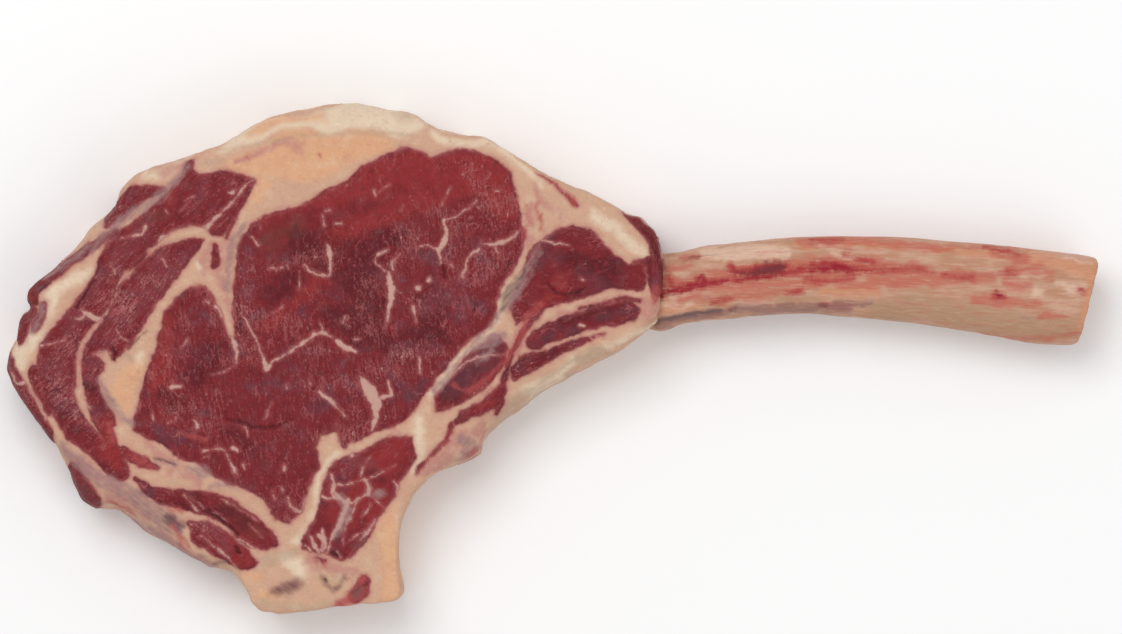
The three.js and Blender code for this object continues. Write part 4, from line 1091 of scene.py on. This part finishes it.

    # Over both: skins drawn out along the seams, veins that cross them, blood, bruises, and painted shade in
    # the creases.
    colour = is_lean.mix(fat_tone, lean_tone)
    drawn_way = start.node("ShaderNodeCombineXYZ", {}, {2: field["drawn"]})
    drawn = noise(0.0012, 3.0, 0.6, (drawn_way, (1.0, 8.0, 2.0))) - 0.5
    is_skin = (field["skin"] + 2.0 * edge + 1.5 * drawn).step(-1.3, 1.3)
    colour = (is_skin * (0.70 + 1.1 * drawn + 0.8 * middle)).mix(colour, SKIN_GREY)
    colour = ((field["dim"] + 1.5 * edge).step(-1.2, 1.2) * (0.62 + 1.4 * drawn)).mix(colour, DIM_SKIN_AND_BONE_SHADE)
    colour = (is_vein * is_lean * 0.5).mix(colour, VEIN)
    blood_share = (field["blood"] + 1.8 * edge + 1.5 * drawn).step(-1.4, 1.5)
    colour = (blood_share * (0.80 + 1.0 * drawn)).mix(colour, BLOOD)
    colour = ((field["bruise"] + 2.2 * edge).step(-1.8, 1.8) * (0.85 + 1.0 * drawn)).mix(colour, BRUISE)
    # Painted shade: the creases darkened to near black.
    colour = ((field["crease"] + 0.6 * edge).step(-0.4, 0.4) * 0.75).mix(colour, CREASE_SHADE)

    bumps = 0.55 * fine + 0.4 * grain + 0.6 * fibre + 0.5 * middle + 0.15 * is_vein - 0.2 * flecks_and_glints
    bump = start.node("ShaderNodeBump", {}, {"Strength": 0.75, "Distance": 0.0008, "Height": bumps})
    wet = (0.5 + 1.5 * patch + 1.2 * fine).step(0.45, 0.85)
    shader.inputs["Coat Roughness"].default_value = 0.22
    shader.inputs["Specular IOR Level"].default_value = 0.12
    lead_to(shader, {
        "Base Color": colour,
        "Roughness": 0.62 - 0.15 * wet,
        "Coat Weight": 0.02 + 0.16 * wet,
        "Normal": bump,
    })
    return material


raw_meat = meat_finish()

# The fat and each muscle are closed pieces of the slab: the upper and lower net where the piece
# lies, with upright walls between neighbours, as the solids of the frame have.

both_points = np.concatenate([points_above, points_below])
both_fields = {name: np.concatenate([fields_above[name], fields_below[name]]) for name in fields_above}
place_of = np.full(len(net), -1)
place_of[used] = np.arange(len(used))
corner_above = place_of[squares]
corner_below = np.where(rim_used[corner_above], corner_above, corner_above + len(used))


def split_squares(corners):
    """Two triangles for each square, split so that a square at the rim doesn't fold flat."""
    outer = rim_used[corner_above]
    through_first = outer[:, 0] & outer[:, 1] & outer[:, 3] | outer[:, 2] & outer[:, 1] & outer[:, 3]
    first = np.stack([corners[:, [0, 1, 2]], corners[:, [0, 2, 3]]], 1)
    second = np.stack([corners[:, [0, 1, 3]], corners[:, [1, 2, 3]]], 1)
    return np.where(through_first[:, None, None], first, second)


triangles_above = split_squares(corner_above)
triangles_below = split_squares(corner_below)[:, :, ::-1]


def corner_normals(points, triangles):
    """Direction of the surface at each point: the mean of its triangles', the larger ones heavier."""
    crossed = crossed_edges(points[triangles])
    normals = np.zeros_like(points)
    for corner in range(3):
        np.add.at(normals, triangles[:, corner], crossed)
    return unit(normals)


skin_triangles = np.concatenate([triangles_above.reshape(-1, 3), triangles_below.reshape(-1, 3)])
skin_normals = corner_normals(both_points, skin_triangles)


def new_piece(name, points, triangles, normals, finish, fields):
    """A mesh object from points in millimetres, with a normal for each triangle corner and its fields."""
    mesh = bpy.data.meshes.new(name)
    mesh.vertices.add(len(points))
    mesh.loops.add(triangles.size)
    mesh.polygons.add(len(triangles))
    mesh.vertices.foreach_set("co", (points * MILLIMETRE).astype(np.float32).ravel())
    mesh.loops.foreach_set("vertex_index", triangles.astype(np.int32).ravel())
    mesh.polygons.foreach_set("loop_start", np.arange(0, triangles.size, 3, dtype=np.int32))
    mesh.polygons.foreach_set("use_smooth", np.ones(len(triangles), bool))
    for field, values in fields.items():
        attribute = mesh.attributes.new(field, "FLOAT", "POINT")
        attribute.data.foreach_set("value", values.astype(np.float32))
    mesh.update(calc_edges=True)
    mesh.normals_split_custom_set(normals.reshape(-1, 3))
    mesh.materials.append(finish)
    piece = bpy.data.objects.new(name, mesh)
    bpy.context.scene.collection.objects.link(piece)
    return piece


def cut_piece(name, index):
    """The part of the slab that one muscle or the fat takes up, closed by walls where it meets others.

    An edge that no triangle of the piece runs back along is on its border, and gets a wall of two
    triangles unless it is on the slab's rim, where the upper and lower net share their points.
    """
    mine = owner == index
    top = triangles_above[mine].reshape(-1, 3)
    bottom = triangles_below[mine].reshape(-1, 3)
    edges = np.concatenate([top[:, [0, 1]], top[:, [1, 2]], top[:, [2, 0]]])
    key = edges[:, 0] * len(both_points) + edges[:, 1]
    back = edges[:, 1] * len(both_points) + edges[:, 0]
    border = edges[~np.isin(key, back)]
    border = border[~(rim_used[border[:, 0]] & rim_used[border[:, 1]])]
    under = np.where(rim_used[border], border, border + len(used))
    walls = np.concatenate([
        np.stack([border[:, 1], border[:, 0], under[:, 0]], 1),
        np.stack([border[:, 1], under[:, 0], under[:, 1]], 1),
    ])
    distinct = (walls[:, 0] != walls[:, 1]) & (walls[:, 1] != walls[:, 2]) & (walls[:, 0] != walls[:, 2])
    walls = walls[distinct]
    facing = unit(crossed_edges(both_points[walls]))
    triangles = np.concatenate([top, bottom, walls])
    normals = np.concatenate([skin_normals[top], skin_normals[bottom], np.repeat(facing[:, None], 3, 1)])
    kept_points, triangles = np.unique(triangles, return_inverse=True)
    triangles = triangles.reshape(-1, 3)
    fields = {field: values[kept_points] for field, values in both_fields.items()}
    return new_piece(name, both_points[kept_points], triangles, normals, raw_meat, fields)


for index, node in enumerate(MUSCLES + ["fat_web"]):
    piece = cut_piece(node + "_meat" if node != "fat_web" else "fat_and_skin", index)
    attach(piece, "root")
    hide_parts(node)
    "fat" if node == "fat_web" else "lean"

# ---- The rib bone ---------------------------------------------------------------------------
# A long curved rib, scraped clean but for scraps of red, sawn off square at its far end. It is a
# closed tube of sections measured on the frame's bone, with a groove along it and a spongy end.

BONE_STATIONS = 420  # sections along the bone, each with
BONE_POINTS = 112  # points round it
MEASURED_STATIONS = 34  # sections measured on the frame's bone, between
FIRST_MEASURED, LAST_MEASURED = 1.0, 8.5  # millimetres from its ends
SECTION_BLURS = 60  # times that the measured sections are mixed with their neighbours
SAW_SLANT = 0.25  # x gained for each millimetre across, at the sawn end
SLANT_START = 100.0  # the slant grows from here outwards
BONE_SQUARENESS = 2.4  # 2 for an ellipse, more for a squarer section
ADDED_HEIGHT = 0.35  # to half the measured height
GROOVE_DEPTH = 1.3
GROOVE_PLACE = 0.16  # from the middle, as a share of half the bone's width, as its width is
GROOVE_WIDTH = 0.3
GRISTLE_FADES = (22.0, 102.0)  # x between which the lumps near the meat fade away
LIP_PLACE = 43.0  # x of the lip on the bone's lower edge, where it leaves the meat
LIP_DEPTH = 2.6
LIP_LENGTH = 5.5
ROOT_RINGS = (0.05, 0.4, 0.8, 0.95)  # size of the rings that close the root, as shares of a section
SAWN_RINGS = [(0.985, 0.25), (0.955, 0.4)]  # the sawn edge: size of a ring and how far it stands out
SAWN_RINGS += [(share, 0.42) for share in np.linspace(0.9, 0.02, 22)]

# Strokes as on the meat: broad tones of the bone first and last, and blood, clots and brown
# shades with an edge between them. The brown shades are painted shade beside the groove's blood,
# with brown scraps; the pale strokes are partly painted highlights on the upper side; the grey
# and dark strokes are membrane with painted shade along the lower edge and beside the meat.
WASHED_BONE = [
    [(38.8, 33.5, 3.8), (40.4, 25.9, 5.3)],
    [(95.3, 45.3, 2.7), (104.8, 44.9, 3.4), (114.3, 44.9, 2.3)],
    [(114.3, 44.2, 1.5), (129.6, 43.8, 1.1), (152.5, 43, 1.5), (167.7, 41.9, 1.9)],
    [(167.7, 41.5, 3), (176.1, 39.6, 4.6), (183, 38.5, 2.3)],
    [(171.5, 32.7, 3), (176.9, 32, 3)],
    [(88.4, 25.1, 2.7), (96.4, 25.5, 2.3)],
    [(106.7, 28.6, 3), (114.3, 27.4, 3.8), (125.8, 27, 3)],
    [(41.9, 28.2, 4.6), (53.3, 29.3, 5.3), (68.6, 31.6, 6.8), (81.9, 32.7, 6.1), (95.3, 34.3, 6.1)],
    [(57.1, 26.6, 3), (72.4, 27, 4.6), (88.8, 27.8, 5.3), (101, 29.7, 6.1), (114.3, 30.5, 4.6)],
    [(58.3, 22.5, 2.3), (68.6, 22.8, 2.7)],
    [(88.8, 25.5, 3), (96.4, 25.5, 3)],
    [(95.3, 44.2, 3.8), (112.4, 44.6, 4.6), (131.5, 43.4, 3.8), (152.5, 41.9, 3.8)],
    [(114.3, 34.3, 6.8), (127.7, 34.3, 6.1), (142.9, 33.5, 4.6)],
    [(91.5, 36.6, 3.8), (106.7, 36.6, 4.6), (125.8, 36.6, 3.8)],
    [(122, 28.9, 4.6), (141, 29.7, 6.1), (158.2, 31.2, 6.1), (167.7, 30.5, 4.6)],
    [(172.7, 41.1, 4.6), (181.1, 38.1, 5.3), (175.3, 33.5, 5.3), (186.8, 34.3, 3.8)],
    [(162, 22.1, 3.8), (171.5, 22.1, 5.3), (185.6, 20.5, 3.8)],
    [(173.4, 28.9, 3.8), (183, 27.4, 3)],
    [(186.8, 16.4, 2.3), (196.7, 14.8, 1.9)],
    [(104, 19.8, 3), (114.3, 19.8, 3)],
    [(49.5, 22.5, 3), (64.8, 22.5, 3.4), (81.9, 24.4, 3.4), (95.3, 25.5, 3)],
    [(43.8, 34.3, 3), (53.3, 35, 3)],
    [(179.1, 34.3, 3.8), (190.6, 31.2, 3.8)],
    [(50.7, 38.1, 3), (56.4, 38.8, 2.7)],
    [(165.8, 8, 1.9), (179.1, 6.8, 1.9), (200.1, 8.7, 3)],
]
BONE_BLOOD = [
    [(40, 22.1, 1.9), (42.6, 25.1, 2.3), (49.5, 26.3, 2.3), (57.1, 27.8, 1.9), (67.4, 29.7, 1.3),
     (78.1, 30.5, 1.5), (89.5, 32.4, 1.5), (95.3, 33.5, 2.7), (101, 33.9, 2.7), (110.5, 34.3, 2.3),
     (118.1, 33.5, 2.3), (125.8, 33.5, 1.1), (141.8, 33.9, 0.9), (145.6, 32.7, 0.4)],
    [(38.8, 28.2, 1.9), (41.9, 26.6, 3)],
    [(99.8, 45.3, 0.8), (105.9, 44.9, 1.1), (111.3, 45.3, 0.6)],
    [(165.8, 42.3, 0.4), (171.5, 41.1, 0.6), (178.4, 39.6, 0.5)],
    [(97.6, 29.3, 0.6), (106.7, 29.3, 1.1), (115.5, 30.5, 0.8)],
    [(90.7, 24.4, 0.6), (93.7, 25.1, 1.1), (95.6, 25.9, 0.6)],
    [(62.1, 21.3, 0.4), (66.7, 22.1, 0.8), (69, 22.5, 0.4)],
    [(69, 35, 1.5), (71.2, 32.7, 3), (73.9, 32.7, 2.3), (78.9, 33.1, 4.6), (85.7, 34.3, 5.3),
     (89.5, 35, 2.7)],
    [(91.5, 33.9, 1.1), (94.5, 33.5, 1.9)],
    [(150.2, 31.6, 0.4), (155.1, 30.8, 0.6), (161.6, 30.8, 0.4)],
    [(174.2, 33.1, 0.4), (176.5, 32.4, 0.6)],
    [(169.2, 23.6, 1.5), (172.7, 23.2, 1.5)],
    [(201.6, 25.9, 0.8), (203.5, 25.5, 0.8)],
    [(44.9, 31.2, 0.8), (46.5, 27.4, 0.8)],
    [(112.4, 39.2, 0.8), (122.7, 36.6, 0.8)],
    [(99.8, 35.4, 1.9), (105.9, 35.8, 2.3), (112.4, 35.4, 1.9)],
]
BONE_CLOTS = [
    [(41.9, 24.4, 1.5), (46.5, 25.5, 1.9), (50.7, 26.3, 1.9), (58.3, 28.2, 1.7), (63.2, 28.9, 1.3),
     (67.4, 29.7, 0.8)],
    [(56, 29.7, 1.1), (57.9, 31.2, 1.5), (58.7, 29.3, 1.5)],
    [(71.2, 29.7, 0.6), (77, 30.1, 0.9), (83.1, 30.8, 1.1), (89.9, 32, 0.8)],
    [(99.5, 33.5, 0.9), (105.2, 33.9, 1.5), (110.9, 34.3, 1.5), (115.1, 33.1, 0.8)],
    [(170.4, 25.1, 1.1), (171.5, 23.6, 1.5)],
]
# Painted shade beside the blood in the groove, with brown scraps.
BONE_SHADES = [
    [(74.3, 31.6, 1.5), (78.9, 32.4, 3), (83.1, 33.5, 4.2), (87.6, 34.3, 4.2)],
    [(81.5, 36.6, 0.8), (83.8, 36.6, 1.1), (87.3, 36.9, 1.1)],
    [(70.5, 32.7, 1.1), (74.3, 32, 1.5)],
    [(50.7, 36.6, 0.4), (53.3, 37.7, 0.6), (56, 38.5, 0.6)],
    [(170.4, 24.4, 0.6), (171.9, 24, 0.6)],
    [(69, 18.6, 0.8), (70.5, 19.4, 1.1)],
    [(102.9, 20.2, 0.8), (105.2, 19.8, 1.1)],
]
# Pale cream, partly painted highlights on the bone's upper side.
PALE_AND_HIGHLIGHT_ON_BONE = [
    [(48, 33.1, 1.9), (52.6, 32.7, 1.5)],
    [(58.3, 40.4, 3.8), (66.7, 39.6, 6.1), (77, 40.4, 6.1), (89.5, 40.4, 4.6)],
    [(43.4, 23.2, 1.1), (55.2, 24.7, 1.1)],
    [(40.4, 19.4, 2.3), (53.3, 19.8, 1.5)],
    [(103.7, 42.7, 1.9), (110.9, 42.7, 2.3)],
    [(107.5, 39.6, 1.9), (112.4, 38.1, 2.3), (116.6, 38.5, 1.9)],
    [(138, 42.3, 2.3), (144.5, 41.9, 2.3)],
    [(180.7, 32, 2.7), (187.5, 32, 2.3)],
    [(174.2, 28.9, 1.9), (183, 28.6, 1.9)],
    [(185.2, 24.7, 3), (186.8, 24.4, 3)],
    [(192.9, 28.2, 2.3), (199, 26.6, 3.4), (203.9, 27.8, 3)],
    [(196.7, 38.8, 1.1), (206.6, 36.2, 1.1)],
]
PEACH_BONE = [
    [(102.9, 43.8, 3), (121.2, 43.4, 3), (139.1, 43, 3), (156.3, 41.1, 3.4), (171.5, 39.6, 3.8)],
    [(183, 38.1, 5.3), (194.4, 35.8, 6.1), (205.8, 34.3, 6.1)],
    [(206.6, 31.6, 3.4), (204.3, 20.2, 3.8), (202, 9.9, 3.8)],
    [(104, 25.1, 3), (114.3, 25.5, 3.8), (125, 25.1, 3)],
    [(40, 17.5, 3), (57.1, 19, 2.3)],
    [(93.7, 43, 3), (99.8, 42.7, 2.3)],
]
TAN_BONE = [
    [(87.6, 20.9, 3.8), (102.1, 19.8, 3.8)],
    [(125.8, 19, 8.4), (141, 19.8, 9.9), (156.3, 16.7, 9.9), (171.5, 13.7, 10.6), (186.8, 11.4, 9.1),
     (197.4, 11.4, 7.6)],
]
# Grey membrane with painted shade, along the lower edge and beside the meat.
GREY_AND_SHADE_ON_BONE = [
    [(40, 13.3, 3.4), (46.1, 14.4, 3.4), (51.8, 15.6, 3.4), (59.4, 16.7, 3.4), (65.5, 17.5, 3),
     (69, 18.3, 3)],
    [(71.2, 18.6, 3.4), (85, 18.6, 3.4), (102.1, 19, 3.4), (114.3, 18.6, 3)],
    [(40, 11.8, 3), (46.5, 12.2, 2.3)],
    [(40, 36.6, 3), (42.6, 33.5, 3)],
    [(108.6, 20.9, 2.7), (122, 20.9, 2.7)],
]
# A dark line of membrane and painted shade along the lower edge.
DARK_MEMBRANE_AND_SHADE_ON_BONE = [
    [(39.6, 13.7, 1.1), (46.1, 14.8, 1.5), (51.8, 16, 1.3), (59.4, 17.1, 1.1), (65.1, 17.9, 0.8)],
]
bone_triangles = node_triangles("rib_bone")
bone_low, bone_high = bone_triangles.min((0, 1)), bone_triangles.max((0, 1))


def bone_extent(station):
    """Lowest and highest y and z of the bone where an upright plane cuts it across."""
    points, _ = plane_crossings(bone_triangles, bone_triangles[:, :, 0] - station)
    return [*points.min(0)[1:], *points.max(0)[1:]]


measured_at = np.linspace(bone_low[0] + FIRST_MEASURED, bone_high[0] - LAST_MEASURED, MEASURED_STATIONS)
measured = np.array([bone_extent(station) for station in measured_at])
end_reach = SAW_SLANT * (measured[-1, 2] - measured[-1, 0]) / 2
stations = np.linspace(bone_low[0] + 0.2, bone_high[0] - end_reach + 1.1, BONE_STATIONS)
extent = np.array([np.interp(stations, measured_at, column) for column in measured.T]).T
for _ in range(SECTION_BLURS):
    extent[1:-1] = (extent[:-2] + 2 * extent[1:-1] + extent[2:]) / 4

# At the sawn end the bone's upper and lower edges are rounded off, the upper one from further in.
to_end = stations[-1] - stations
extent[:, 2] -= 1.6 * np.exp(-to_end / 3.0) + 0.9 * np.exp(-to_end / 0.7)
extent[:, 0] += 1.4 * np.exp(-to_end / 1.0)
extent[:, 0] -= LIP_DEPTH * np.exp(-(((stations - LIP_PLACE) / LIP_LENGTH) ** 2))
middle_y, middle_z = (extent[:, 0] + extent[:, 2]) / 2, (extent[:, 1] + extent[:, 3]) / 2
half_y, half_z = (extent[:, 2] - extent[:, 0]) / 2, (extent[:, 3] - extent[:, 1]) / 2


def bone_tube():
    """Points of the bone, sections by points round, with the saw's broken edge and its flat end.

    A section is a rounded square: across and up are signed powers of the cosine and sine of the
    angle. The last rings shrink towards the middle to close the end.
    """
    angle = np.linspace(0, 2 * np.pi, BONE_POINTS, endpoint=False)
    power = 2 / BONE_SQUARENESS
    across = np.sign(np.cos(angle)) * np.abs(np.cos(angle)) ** power
    up = np.sign(np.sin(angle)) * np.abs(np.sin(angle)) ** power
    in_groove = np.where(up > 0, np.exp(-(((across - GROOVE_PLACE) / GROOVE_WIDTH) ** 2)), 0)
    x = np.repeat(stations[:, None], BONE_POINTS, 1)
    y = across * half_y[:, None]
    z = up * (half_z + ADDED_HEIGHT)[:, None] - GROOVE_DEPTH * in_groove
    rings = [np.stack([x, y, z], 2)]
    last = rings[0][-1]
    for shrink, out in SAWN_RINGS:
        ring = last * (1, shrink, shrink) + (out, 0, 0)
        rings.append(ring[None])
    first = rings[0][0]
    starts = [(first * (1, share, share))[None] for share in ROOT_RINGS]
    tube = np.concatenate(starts + rings)
    slant = SAW_SLANT * smooth(tube[..., 0], SLANT_START, stations[-1])
    added = (len(ROOT_RINGS), len(SAWN_RINGS))
    centre_y = np.pad(middle_y, added, "edge")[:, None]
    centre_z = np.pad(middle_z, added, "edge")[:, None]
    x, y, z = np.moveaxis(tube, 2, 0)
    return np.stack([x + slant * y, y + centre_y, z + centre_z], 2)


tube = bone_tube()
ring_count = len(tube)
tube_number = np.arange(ring_count * BONE_POINTS).reshape(ring_count, BONE_POINTS)
turned = np.roll(tube_number, -1, 1)
bone_faces = np.concatenate([
    np.stack([tube_number[:-1], turned[:-1], turned[1:]], -1).reshape(-1, 3),
    np.stack([tube_number[:-1], turned[1:], tube_number[1:]], -1).reshape(-1, 3),
])
bone_points = tube.reshape(-1, 3)
ends = np.array([tube[0].mean(0), tube[-1].mean(0)])
caps = np.concatenate([
    np.stack([turned[0], tube_number[0], np.full(BONE_POINTS, len(bone_points))], 1),
    np.stack([tube_number[-1], turned[-1], np.full(BONE_POINTS, len(bone_points) + 1)], 1),
])
bone_points = np.concatenate([bone_points, ends])
bone_faces = np.concatenate([bone_faces, caps])
first, second, third = np.moveaxis(bone_points[bone_faces], 1, 0)
if np.sum(np.cross(second, third) * first) < 0:
    bone_faces = bone_faces[:, ::-1]
bone_normals = corner_normals(bone_points, bone_faces)
past_end = bone_points[:, 0] - SAW_SLANT * (bone_points[:, 1] - middle_y[-1]) - stations[-1]
on_end = smooth(past_end, 0.1, 0.35)
facing_up = smooth(bone_normals[:, 2], -0.25, 0.35)
bone_places = bone_points[:, :2]
bone_height = bone_points[:, 2]
bone_fine = wandering(wandering(bone_places, bone_height, 1.0, 4.0, 51), bone_height, 0.5, 1.6, 53)
bone_near = wandering(bone_places, bone_height, 0.35, 1.8, 57)
outside = -6.0 * (1 - facing_up) - 8.0 * on_end
bone_fields = {
    "wash": tone_share(bone_fine, WASHED_BONE, 2.0),
    "peach": tone_share(bone_fine, PEACH_BONE, 2.0),
    "tan": tone_share(bone_fine, TAN_BONE, 2.5),
    "grey": tone_share(bone_fine, GREY_AND_SHADE_ON_BONE, 1.3),
    "pale": tone_share(bone_fine, PALE_AND_HIGHLIGHT_ON_BONE, 1.5) * facing_up,
    "blood": depth_in_strokes(bone_near, BONE_BLOOD) + outside,
    "clot": depth_in_strokes(bone_near, BONE_CLOTS) + outside,
    "shade": depth_in_strokes(bone_near, BONE_SHADES) + outside,
    "dark": depth_in_strokes(bone_near, DARK_MEMBRANE_AND_SHADE_ON_BONE) + outside,
    "sawn": on_end,
}

# Relief: long swells and streaks, lumps of gristle near the meat, the brown painted shade raised,
# clots and the dark line along the lower edge sunk, and the sawn face rough as a sponge.
spots = bone_points * (0.35, 1.0, 1.0)
out = 0.45 * waves(bone_points * (0.5, 1.0, 1.0), 11.0, 55)
out += 0.22 * waves(spots, 3.6, 56) + 0.1 * waves(spots, 1.6, 57)
lumps = 1 - smooth(bone_points[:, 0], *GRISTLE_FADES)
out += lumps * (0.5 * waves(bone_points, 6.5, 58) + 0.25 * waves(bone_points, 3.0, 59))
out += 0.3 * smooth(bone_fields["shade"], -1.0, 1.0) - 0.6 * smooth(bone_fields["clot"], -1.0, 0.6)
out -= 0.8 * smooth(bone_fields["dark"], -1.0, 0.5)
out *= 1 - on_end
bone_points = bone_points + out[:, None] * bone_normals
sponge = on_end * (0.25 * waves(bone_points, 1.1, 60) + 0.2 * waves(bone_points, 2.4, 61))
bone_points[:, 0] += sponge - 0.2 * on_end
bone_normals = corner_normals(bone_points, bone_faces)

BONE = (0.500, 0.258, 0.160)
BONE_PALE_AND_HIGHLIGHT = (0.750, 0.530, 0.400)
BONE_WASHED = (0.510, 0.130, 0.088)
BONE_PEACH = (0.660, 0.280, 0.150)
BONE_TAN = (0.430, 0.260, 0.155)
BONE_GREY_AND_SHADE = (0.285, 0.135, 0.125)
BONE_REDDENED = (0.410, 0.050, 0.046)
BONE_BLOODY = (0.350, 0.022, 0.034)
BONE_CLOT = (0.300, 0.008, 0.024)
BONE_SHADE = (0.150, 0.030, 0.034)
MARROW = (0.600, 0.300, 0.150)


def bone_finish():
    """The finish of the scraped bone: streaked along its length, with blood in the groove, painted highlights
    on its upper side and painted shade along its lower edge.
    """
    material, shader, start = new_finish("rib_bone")
    place = start.node("ShaderNodeTexCoord", {}, {}, "Object")
    noise = noise_maker(start, place)
    field = wires_of(start, bone_fields)
    streak = noise(0.0022, 4.0, 0.6, ((0, 0, -0.03), (7.0, 1.0, 1.0))) - 0.5
    thin_streak = noise(0.0008, 3.0, 0.6, ((0, 0, -0.03), (10.0, 1.0, 1.0))) - 0.5
    hair = noise(0.0010, 2.0, 0.6, ((0, 0, -0.35), (1.0, 5.0, 1.0))) - 0.5
    blotch = noise(0.009, 3.0) - 0.5
    middle = noise(0.0033, 3.0) - 0.5
    fine = noise(0.0011, 3.0, 0.6) - 0.5
    edge = 1.2 * middle + 1.0 * fine + 1.5 * streak

    colour = (0.5 + 1.4 * streak + 0.8 * blotch).step(0.30, 1.0).mix(BONE, BONE_PALE_AND_HIGHLIGHT)
    tan_share = (field["tan"] + 1.6 * streak + 0.6 * blotch).step(-0.1, 1.2) * 0.8
    colour = tan_share.mix(colour, BONE_TAN)
    peach_share = (field["peach"] + 0.7 * middle + 1.3 * streak + 0.5 * blotch).step(0.0, 1.2) * 0.7
    colour = peach_share.mix(colour, BONE_PEACH)
    # Painted highlight, partly: pale cream on the upper side.
    pale_and_highlight_share = (field["pale"] + 0.8 * middle + 0.8 * streak + 0.5 * fine).step(0.0, 1.2) * 0.75
    colour = pale_and_highlight_share.mix(colour, BONE_PALE_AND_HIGHLIGHT)
    wash_share = (field["wash"] + 0.6 * blotch + 1.6 * streak + 0.8 * thin_streak).step(0.0, 1.15) * 0.85
    colour = wash_share.mix(colour, BONE_WASHED)
    colour = ((0.5 + 1.2 * blotch + 1.8 * streak).step(0.50, 1.1) * 0.4).mix(colour, BONE_WASHED)
    # Painted shade, partly: grey membrane along the lower edge and beside the meat.
    colour = ((field["grey"] + 1.2 * streak + 0.7 * middle).step(0.0, 1.1) * 0.75).mix(colour, BONE_GREY_AND_SHADE)
    colour = ((0.5 + 2.2 * thin_streak).step(0.55, 1.0) * 0.3).mix(colour, BONE_WASHED)
    colour = ((0.5 - 2.2 * thin_streak - 0.6 * fine).step(0.55, 1.0) * 0.25).mix(colour, BONE_PALE_AND_HIGHLIGHT)
    dark_streak = (0.5 + 1.8 * streak - 2.0 * thin_streak).step(0.75, 1.15) * 0.5
    colour = dark_streak.mix(colour, BONE_GREY_AND_SHADE)
    redness = field["blood"] + 1.6 * edge + 0.9 * hair + 2.0 * thin_streak
    colour = (redness.step(-2.2, 1.0) * 0.85).mix(colour, BONE_REDDENED)
    colour = (redness.step(-0.4, 1.8) * 0.8).mix(colour, BONE_BLOODY)
    # Painted shade beside the groove's blood, with brown scraps.
    shade = (field["shade"] + 1.2 * edge + 1.8 * hair).step(-1.4, 1.6) * 0.85
    colour = shade.mix(colour, BONE_SHADE)
    clot = (field["clot"] + 1.2 * edge + 1.2 * hair + 1.5 * thin_streak).step(-1.2, 1.0) * 0.92
    colour = clot.mix(colour, BONE_CLOT)
    # Painted shade: a dark line of membrane along the lower edge.
    colour = ((field["dark"] + 0.6 * edge).step(-1.2, 0.8) * 0.65).mix(colour, DIM_SKIN_AND_BONE_SHADE)
    cells = start.node("ShaderNodeTexVoronoi", {}, {"Vector": place, "Scale": 1 / 0.0011})
    sponge_tone = cells.step(0.10, 0.60).mix(BONE_WASHED, MARROW)
    colour = field["sawn"].mix(colour, sponge_tone)

    bumps = 0.7 * streak + 0.4 * thin_streak + 0.5 * fine + 0.4 * middle + 0.2 * hair
    bump = start.node("ShaderNodeBump", {}, {"Strength": 0.7, "Distance": 0.0009, "Height": bumps})
    wet = (0.5 + 1.2 * middle + 1.2 * streak).step(0.45, 0.85)
    shader.inputs["Coat Roughness"].default_value = 0.25
    shader.inputs["Specular IOR Level"].default_value = 0.15
    lead_to(shader, {
        "Base Color": colour,
        "Roughness": 0.6 - 0.15 * wet,
        "Coat Weight": 0.02 + 0.2 * wet,
        "Normal": bump,
    })
    return material


scraped_bone = bone_finish()
bone = new_piece(
    "rib_bone_scraped", bone_points, bone_faces, bone_normals[bone_faces], scraped_bone, bone_fields
)
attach(bone, "root")
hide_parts("rib_bone")

# ---- Table, light and camera ------------------------------------------------------------------
# The steak lies on a plain pale table under soft light from above, and the camera looks straight
# down on it from three metres, as in the photograph.

CAMERA_PLACE = (0.00414, 0.01559, 3.0)  # metres, over the middle of the photograph
CAMERA_TO_FACE = CAMERA_PLACE[2] - SLAB_HEIGHT * MILLIMETRE
PHOTO_WIDTH_ON_FACE = 0.42636  # metres of the cut face that the photograph is wide
SENSOR_WIDTH = 36.0
TABLE_REACH = 4.0

table_mesh = bpy.data.meshes.new("table")
table_corners = [(-TABLE_REACH, -TABLE_REACH, 0), (TABLE_REACH, -TABLE_REACH, 0),
                 (TABLE_REACH, TABLE_REACH, 0), (-TABLE_REACH, TABLE_REACH, 0)]
table_mesh.from_pydata(table_corners, [], [(0, 1, 2, 3)])
table = bpy.data.objects.new("table", table_mesh)
bpy.context.scene.collection.objects.link(table)
table_finish, table_shader, _ = new_finish("pale_table")
table_shader.inputs["Base Color"].default_value = (0.97, 0.97, 0.97, 1)
table_shader.inputs["Roughness"].default_value = 0.8
table_mesh.materials.append(table_finish)


def add_lamp(name, place, size, power):
    """A square soft lamp at a place, turned to shine at the middle of the table."""
    lamp = bpy.data.lights.new(name, "AREA")
    lamp.shape = "SQUARE"
    lamp.size = size
    lamp.energy = power
    holder = bpy.data.objects.new(name, lamp)
    holder.location = place
    holder.rotation_euler = (-Vector(place)).to_track_quat("-Z", "Y").to_euler()
    bpy.context.scene.collection.objects.link(holder)


add_lamp("key_light", (-0.55, 0.85, 2.0), 1.3, 21)
add_lamp("fill_light", (1.3, -0.9, 1.7), 1.6, 8)

world = bpy.data.worlds.new("soft_room")
world.use_nodes = True
world.node_tree.nodes["Background"].inputs["Color"].default_value = (1.0, 1.0, 1.0, 1)
world.node_tree.nodes["Background"].inputs["Strength"].default_value = 0.58
bpy.context.scene.world = world
bpy.context.scene.view_settings.view_transform = "Standard"

camera_data = bpy.data.cameras.new("camera")
camera_data.sensor_width = SENSOR_WIDTH
camera_data.lens = SENSOR_WIDTH * CAMERA_TO_FACE / PHOTO_WIDTH_ON_FACE
camera_data.clip_start = 0.1
camera_data.clip_end = 20
camera = bpy.data.objects.new("camera", camera_data)
camera.location = CAMERA_PLACE
bpy.context.scene.collection.objects.link(camera)
bpy.context.scene.camera = camera
